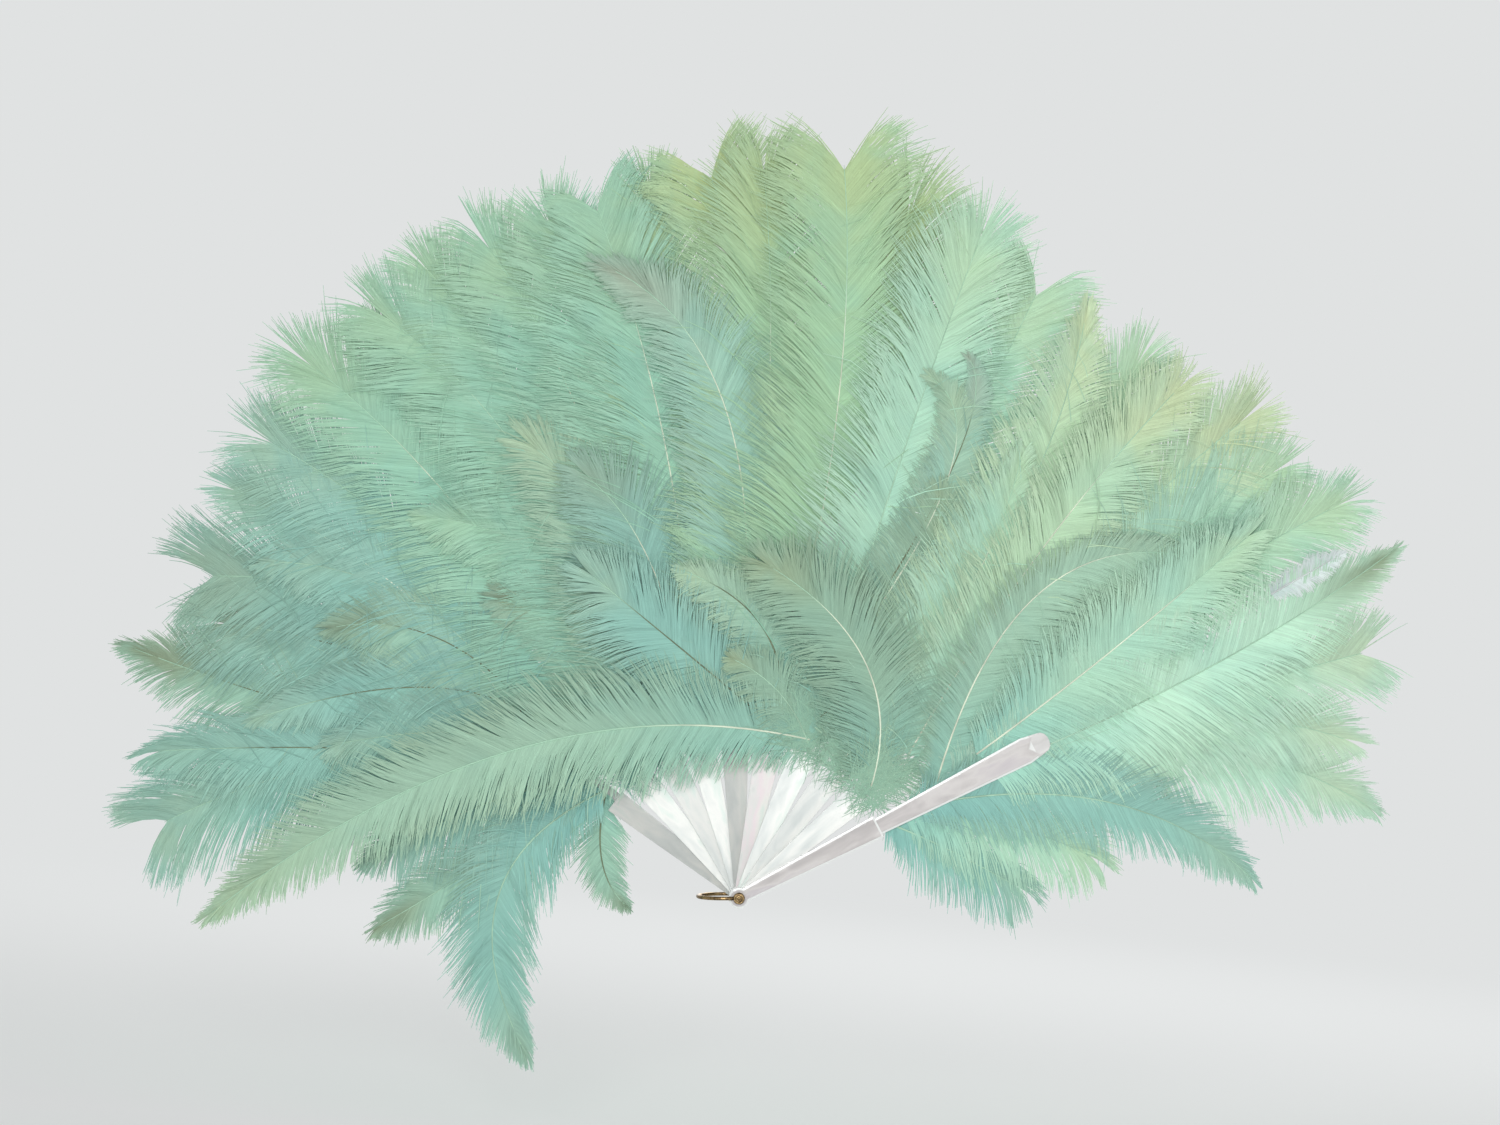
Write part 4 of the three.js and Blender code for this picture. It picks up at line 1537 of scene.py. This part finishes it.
@dataclass(frozen=True)
class Fastening:
    """The rivet with its burr, and the wire loop that swings on it, in millimetres."""

    pin_radius: float = 1.25
    peened_radius: float = 1.8
    peened_front: float = -15.55
    peened_back: float = -14.75
    burr_front: float = -14.65
    seat: float = 13.75  # half the depth of the stack of blades
    head_radius: float = 2.7
    head_back: float = 15.05
    bore: float = 1.35
    wire: float = 0.95
    eye_radius: float = 2.25
    eye_half: float = 0.7
    loop_reach: float = 20.5
    loop_side: float = 12.5
    loop_lean: float = -94.9  # at rest, in degrees from upright
    eye_power: float = 0.6  # how square an eye's section is
    wire_sides: int = 16
    bow_steps: int = 28
    turns: int = 48  # faces round the rivet's axis

    def _turned(self, name: str, profile: Sequence[tuple[float, float]], ring: bool) -> bpy.types.Mesh:
        """Turns a profile round the rivet's axis.

        Args:
            name: The mesh's name.
            profile: Radius and place along the axis of each corner.
            ring: True where the profile closes on itself.

        Returns:
            The mesh.
        """
        mesh = bmesh.new()
        corners = [mesh.verts.new((radius * MM, along * MM, 0)) for radius, along in profile]
        pairs = list(zip(corners, corners[1:]))
        if ring:
            pairs.append((corners[-1], corners[0]))
        edges = [mesh.edges.new(pair) for pair in pairs]
        self._spin(mesh, corners + edges)
        return self._closed(mesh, name)

    def _spin(self, mesh: bmesh.types.BMesh, profile: list) -> None:
        """Turns a profile all the way round the rivet's axis.

        Args:
            mesh: The shape that it is in.
            profile: Its corners and edges.
        """
        bmesh.ops.spin(
            mesh,
            geom=profile,
            axis=(0, 1, 0),
            cent=(0, 0, 0),
            angle=math.tau,
            steps=self.turns,
            use_merge=True,
        )

    @staticmethod
    def _closed(mesh: bmesh.types.BMesh, name: str) -> bpy.types.Mesh:
        """Welds a shape, turns its faces outwards and makes it a smooth mesh.

        Args:
            mesh: The shape, which is freed.
            name: The mesh's name.

        Returns:
            The mesh.
        """
        bmesh.ops.remove_doubles(mesh, verts=mesh.verts, dist=WELD)
        bmesh.ops.recalc_face_normals(mesh, faces=mesh.faces)
        data = bpy.data.meshes.new(name)
        mesh.to_mesh(data)
        mesh.free()
        data.shade_smooth()
        return data

    def pin(self) -> bpy.types.Mesh:
        """Turns the pin: a ringed front end, the plain stem and a domed head behind.

        Returns:
            The mesh.
        """
        front, back = self.peened_front, self.peened_back
        profile = [
            (0.0, front + 0.12),
            (0.42, front + 0.14),
            (0.56, front + 0.3),
            (0.72, front + 0.3),
            (0.86, front + 0.08),
            (1.1, front),
            (1.42, front + 0.12),
            (1.7, front + 0.38),
            (self.peened_radius, back - 0.14),
            (self.peened_radius - 0.05, back),
            (self.pin_radius, back),
            (self.pin_radius, self.seat),
            (self.head_radius - 0.04, self.seat),
            (self.head_radius, self.seat + 0.12),
            (2.5, self.seat + 0.5),
            (2.06, self.seat + 0.86),
            (1.4, self.head_back - 0.16),
            (0.7, self.head_back - 0.03),
            (0.0, self.head_back),
        ]
        return self._turned("rivet_turned", profile, False)

    def burr(self) -> bpy.types.Mesh:
        """Turns the coned washer.

        Returns:
            The mesh.
        """
        back = -self.seat
        profile = [
            (self.bore, self.burr_front),
            (1.86, self.burr_front),
            (2.0, self.burr_front + 0.1),
            (2.14, self.burr_front + 0.1),
            (2.3, self.burr_front + 0.02),
            (2.56, self.burr_front + 0.24),
            (self.head_radius, self.burr_front + 0.48),
            (self.head_radius, back - 0.08),
            (self.head_radius - 0.08, back),
            (self.bore, back),
        ]
        return self._turned("burr_turned", profile, True)

    def loop(self) -> bpy.types.Mesh:
        """Bends the wire: one leg, the bow and the other leg, with a flattened eye at each end.

        Returns:
            The mesh.
        """
        mesh = bmesh.new()
        low = self.eye_radius * MM
        high = (self.loop_reach - self.loop_side) * MM
        side = self.loop_side * MM
        start = bmesh.ops.create_circle(mesh, segments=self.wire_sides, radius=self.wire * MM)["verts"]
        bmesh.ops.translate(mesh, verts=start, vec=(0, -side, low))
        ring = self._extend(mesh, mesh.edges[:], high - low)
        spun = bmesh.ops.spin(
            mesh, geom=ring, axis=(1, 0, 0), cent=(0, 0, high), angle=-math.pi, steps=self.bow_steps
        )
        ends = [piece for piece in spun["geom_last"] if isinstance(piece, bmesh.types.BMEdge)]
        self._extend(mesh, ends, low - high)
        bmesh.ops.holes_fill(mesh, edges=[edge for edge in mesh.edges if edge.is_boundary])
        for place in (-self.loop_side, self.loop_side):
            self._eye(mesh, place)
        lean = Matrix.Rotation(math.radians(self.loop_lean), 4, "Y")
        bmesh.ops.transform(mesh, matrix=lean, verts=mesh.verts)
        return self._closed(mesh, "loop_bent")

    @staticmethod
    def _extend(mesh: bmesh.types.BMesh, edges: list, distance: float) -> list:
        """Draws a ring of edges out straight along the legs.

        Args:
            mesh: The wire.
            edges: The ring.
            distance: How far.

        Returns:
            The new ring's edges and corners.
        """
        drawn = bmesh.ops.extrude_edge_only(mesh, edges=edges)["geom"]
        corners = [piece for piece in drawn if isinstance(piece, bmesh.types.BMVert)]
        bmesh.ops.translate(mesh, verts=corners, vec=(0, 0, distance))
        return [piece for piece in drawn if not isinstance(piece, bmesh.types.BMFace)]

    def _eye(self, mesh: bmesh.types.BMesh, place: float) -> None:
        """Turns one rounded eye round the rivet's axis.

        Args:
            mesh: The wire that it joins.
            place: The middle of the eye along the axis.
        """
        before = set(mesh.verts)
        bmesh.ops.create_circle(mesh, segments=self.wire_sides, radius=1)
        ring = [corner for corner in mesh.verts if corner not in before]
        for corner in ring:
            wide = math.copysign(abs(corner.co.x) ** self.eye_power, corner.co.x)
            deep = math.copysign(abs(corner.co.y) ** self.eye_power, corner.co.y)
            corner.co = Vector((self.eye_radius + wide * self.eye_half, place + deep * self.wire, 0)) * MM
        edges = list({edge for corner in ring for edge in corner.link_edges})
        self._spin(mesh, ring + edges)

    def build(self) -> None:
        """Makes the three brass pieces and sets them on their bodies."""
        brass = BrassFinish().make()
        rows = (
            (self.pin(), "rivet_pin", "rivet"),
            (self.burr(), "rivet_burr", "rivet"),
            (self.loop(), "wire_loop", "loop"),
        )
        for mesh, node, body in rows:
            mesh.materials.append(brass)
            piece = show(mesh.name, mesh)
            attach(piece, body)
            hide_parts(node)
            report(piece)


@dataclass(frozen=True)
class Lamp:
    """A soft square lamp that faces the fan: its place and its side in metres, and its power in watts."""

    name: str
    place: Triple
    side: float
    power: float

    def hang(self, aim: Triple) -> None:
        """Hangs the lamp.

        Args:
            aim: The point that it faces.
        """
        data = bpy.data.lights.new(self.name, "AREA")
        data.size = self.side
        data.energy = self.power
        lamp = show(self.name, data)
        lamp.location = self.place
        lamp.rotation_euler = (Vector(aim) - Vector(self.place)).to_track_quat("-Z", "Y").to_euler()


@dataclass(frozen=True)
class Studio:
    """Camera, lamps, world and floor, in metres."""

    aim: Triple = (-0.0088, 0.0, 0.1666)
    distance: float = 1.77
    lens: float = 85.0
    roll: float = 4.9
    lamps: tuple[Lamp, ...] = (
        Lamp("key_lamp", (-0.22, -2.3, 0.46), 0.9, 29.0),
        Lamp("fill_lamp", (0.8, -1.9, 0.3), 1.8, 7.0),
        Lamp("back_lamp", (0.3, 1.8, 1.2), 1.8, 26.0),
    )
    world_light: float = 0.41
    backdrop: Colour = (224, 226, 226)
    paper: Colour = (238, 240, 240)
    floor_height: float = -0.135
    floor_radius: float = 14.0
    floor_sides: int = 64
    floor_fade: Span = (0.45, 1.5)  # how far from the rivet it fades into the background

    def camera(self) -> None:
        """Sets the camera square to the fan, rolled as it was held."""
        data = bpy.data.cameras.new("camera")
        data.lens = self.lens
        camera = show("camera", data)
        facing = Matrix.Rotation(math.radians(90), 4, "X")
        rolled = Matrix.Rotation(math.radians(-self.roll), 4, "Y")
        place = Vector(self.aim) + Vector((0, -self.distance, 0))
        camera.matrix_world = Matrix.Translation(place) @ rolled @ facing
        bpy.context.scene.camera = camera

    def world(self) -> None:
        """Lights the scene evenly and shows a pale background."""
        recipe = Recipe(bpy.data.worlds.new("studio"))
        light = recipe.node("ShaderNodeBackground", None, {"Color": WHITE, "Strength": self.world_light})
        view = recipe.node("ShaderNodeBackground", None, {"Color": linear(self.backdrop)})
        either = recipe.either(recipe.seen(), light, view)
        recipe.node("ShaderNodeOutputWorld", None, {"Surface": either})
        bpy.context.scene.world = recipe.owner

    def floor(self) -> None:
        """Lays a pale floor that fades into the background."""
        mesh = bmesh.new()
        bmesh.ops.create_circle(mesh, cap_ends=True, segments=self.floor_sides, radius=self.floor_radius)
        bmesh.ops.translate(mesh, verts=mesh.verts, vec=(0, 0, self.floor_height))
        data = bpy.data.meshes.new("floor")
        mesh.to_mesh(data)
        mesh.free()
        recipe = Recipe.material("floor")
        away = recipe.node("ShaderNodeVectorMath", {"operation": "LENGTH"}, {0: recipe.where()})
        faded = recipe.seen() * recipe.rise(Value(recipe, away.outputs["Value"]), *self.floor_fade)
        paper = recipe.node("ShaderNodeBsdfDiffuse", None, {"Color": linear(self.paper)})
        glow = recipe.node("ShaderNodeEmission", None, {"Color": linear(self.backdrop)})
        recipe.node("ShaderNodeOutputMaterial", None, {"Surface": recipe.either(faded, paper, glow)})
        data.materials.append(recipe.owner)
        floor = show("floor", data)

    def build(self) -> None:
        """Sets everything up."""
        self.camera()
        for lamp in self.lamps:
            lamp.hang(self.aim)
        self.world()
        self.floor()
        bpy.context.scene.view_settings.view_transform = "Standard"


def main() -> None:
    """Builds the pieces in order."""
    logging.basicConfig(level=logging.INFO, format="%(name)s: %(message)s")
    Studio().build()
    Blades().dress()
    Fastening().build()
    shop = Workshop()
    seed = 0
    for blade, plumes in enumerate(LEAVES):
        for plume in plumes:
            seed += 1
            report(Feather(shop, blade, plume, seed).build())
    for blade in range(1, LAST_BLADE):
        report(DownTuft(shop, blade).build())


if __name__ == "__main__":
    main()
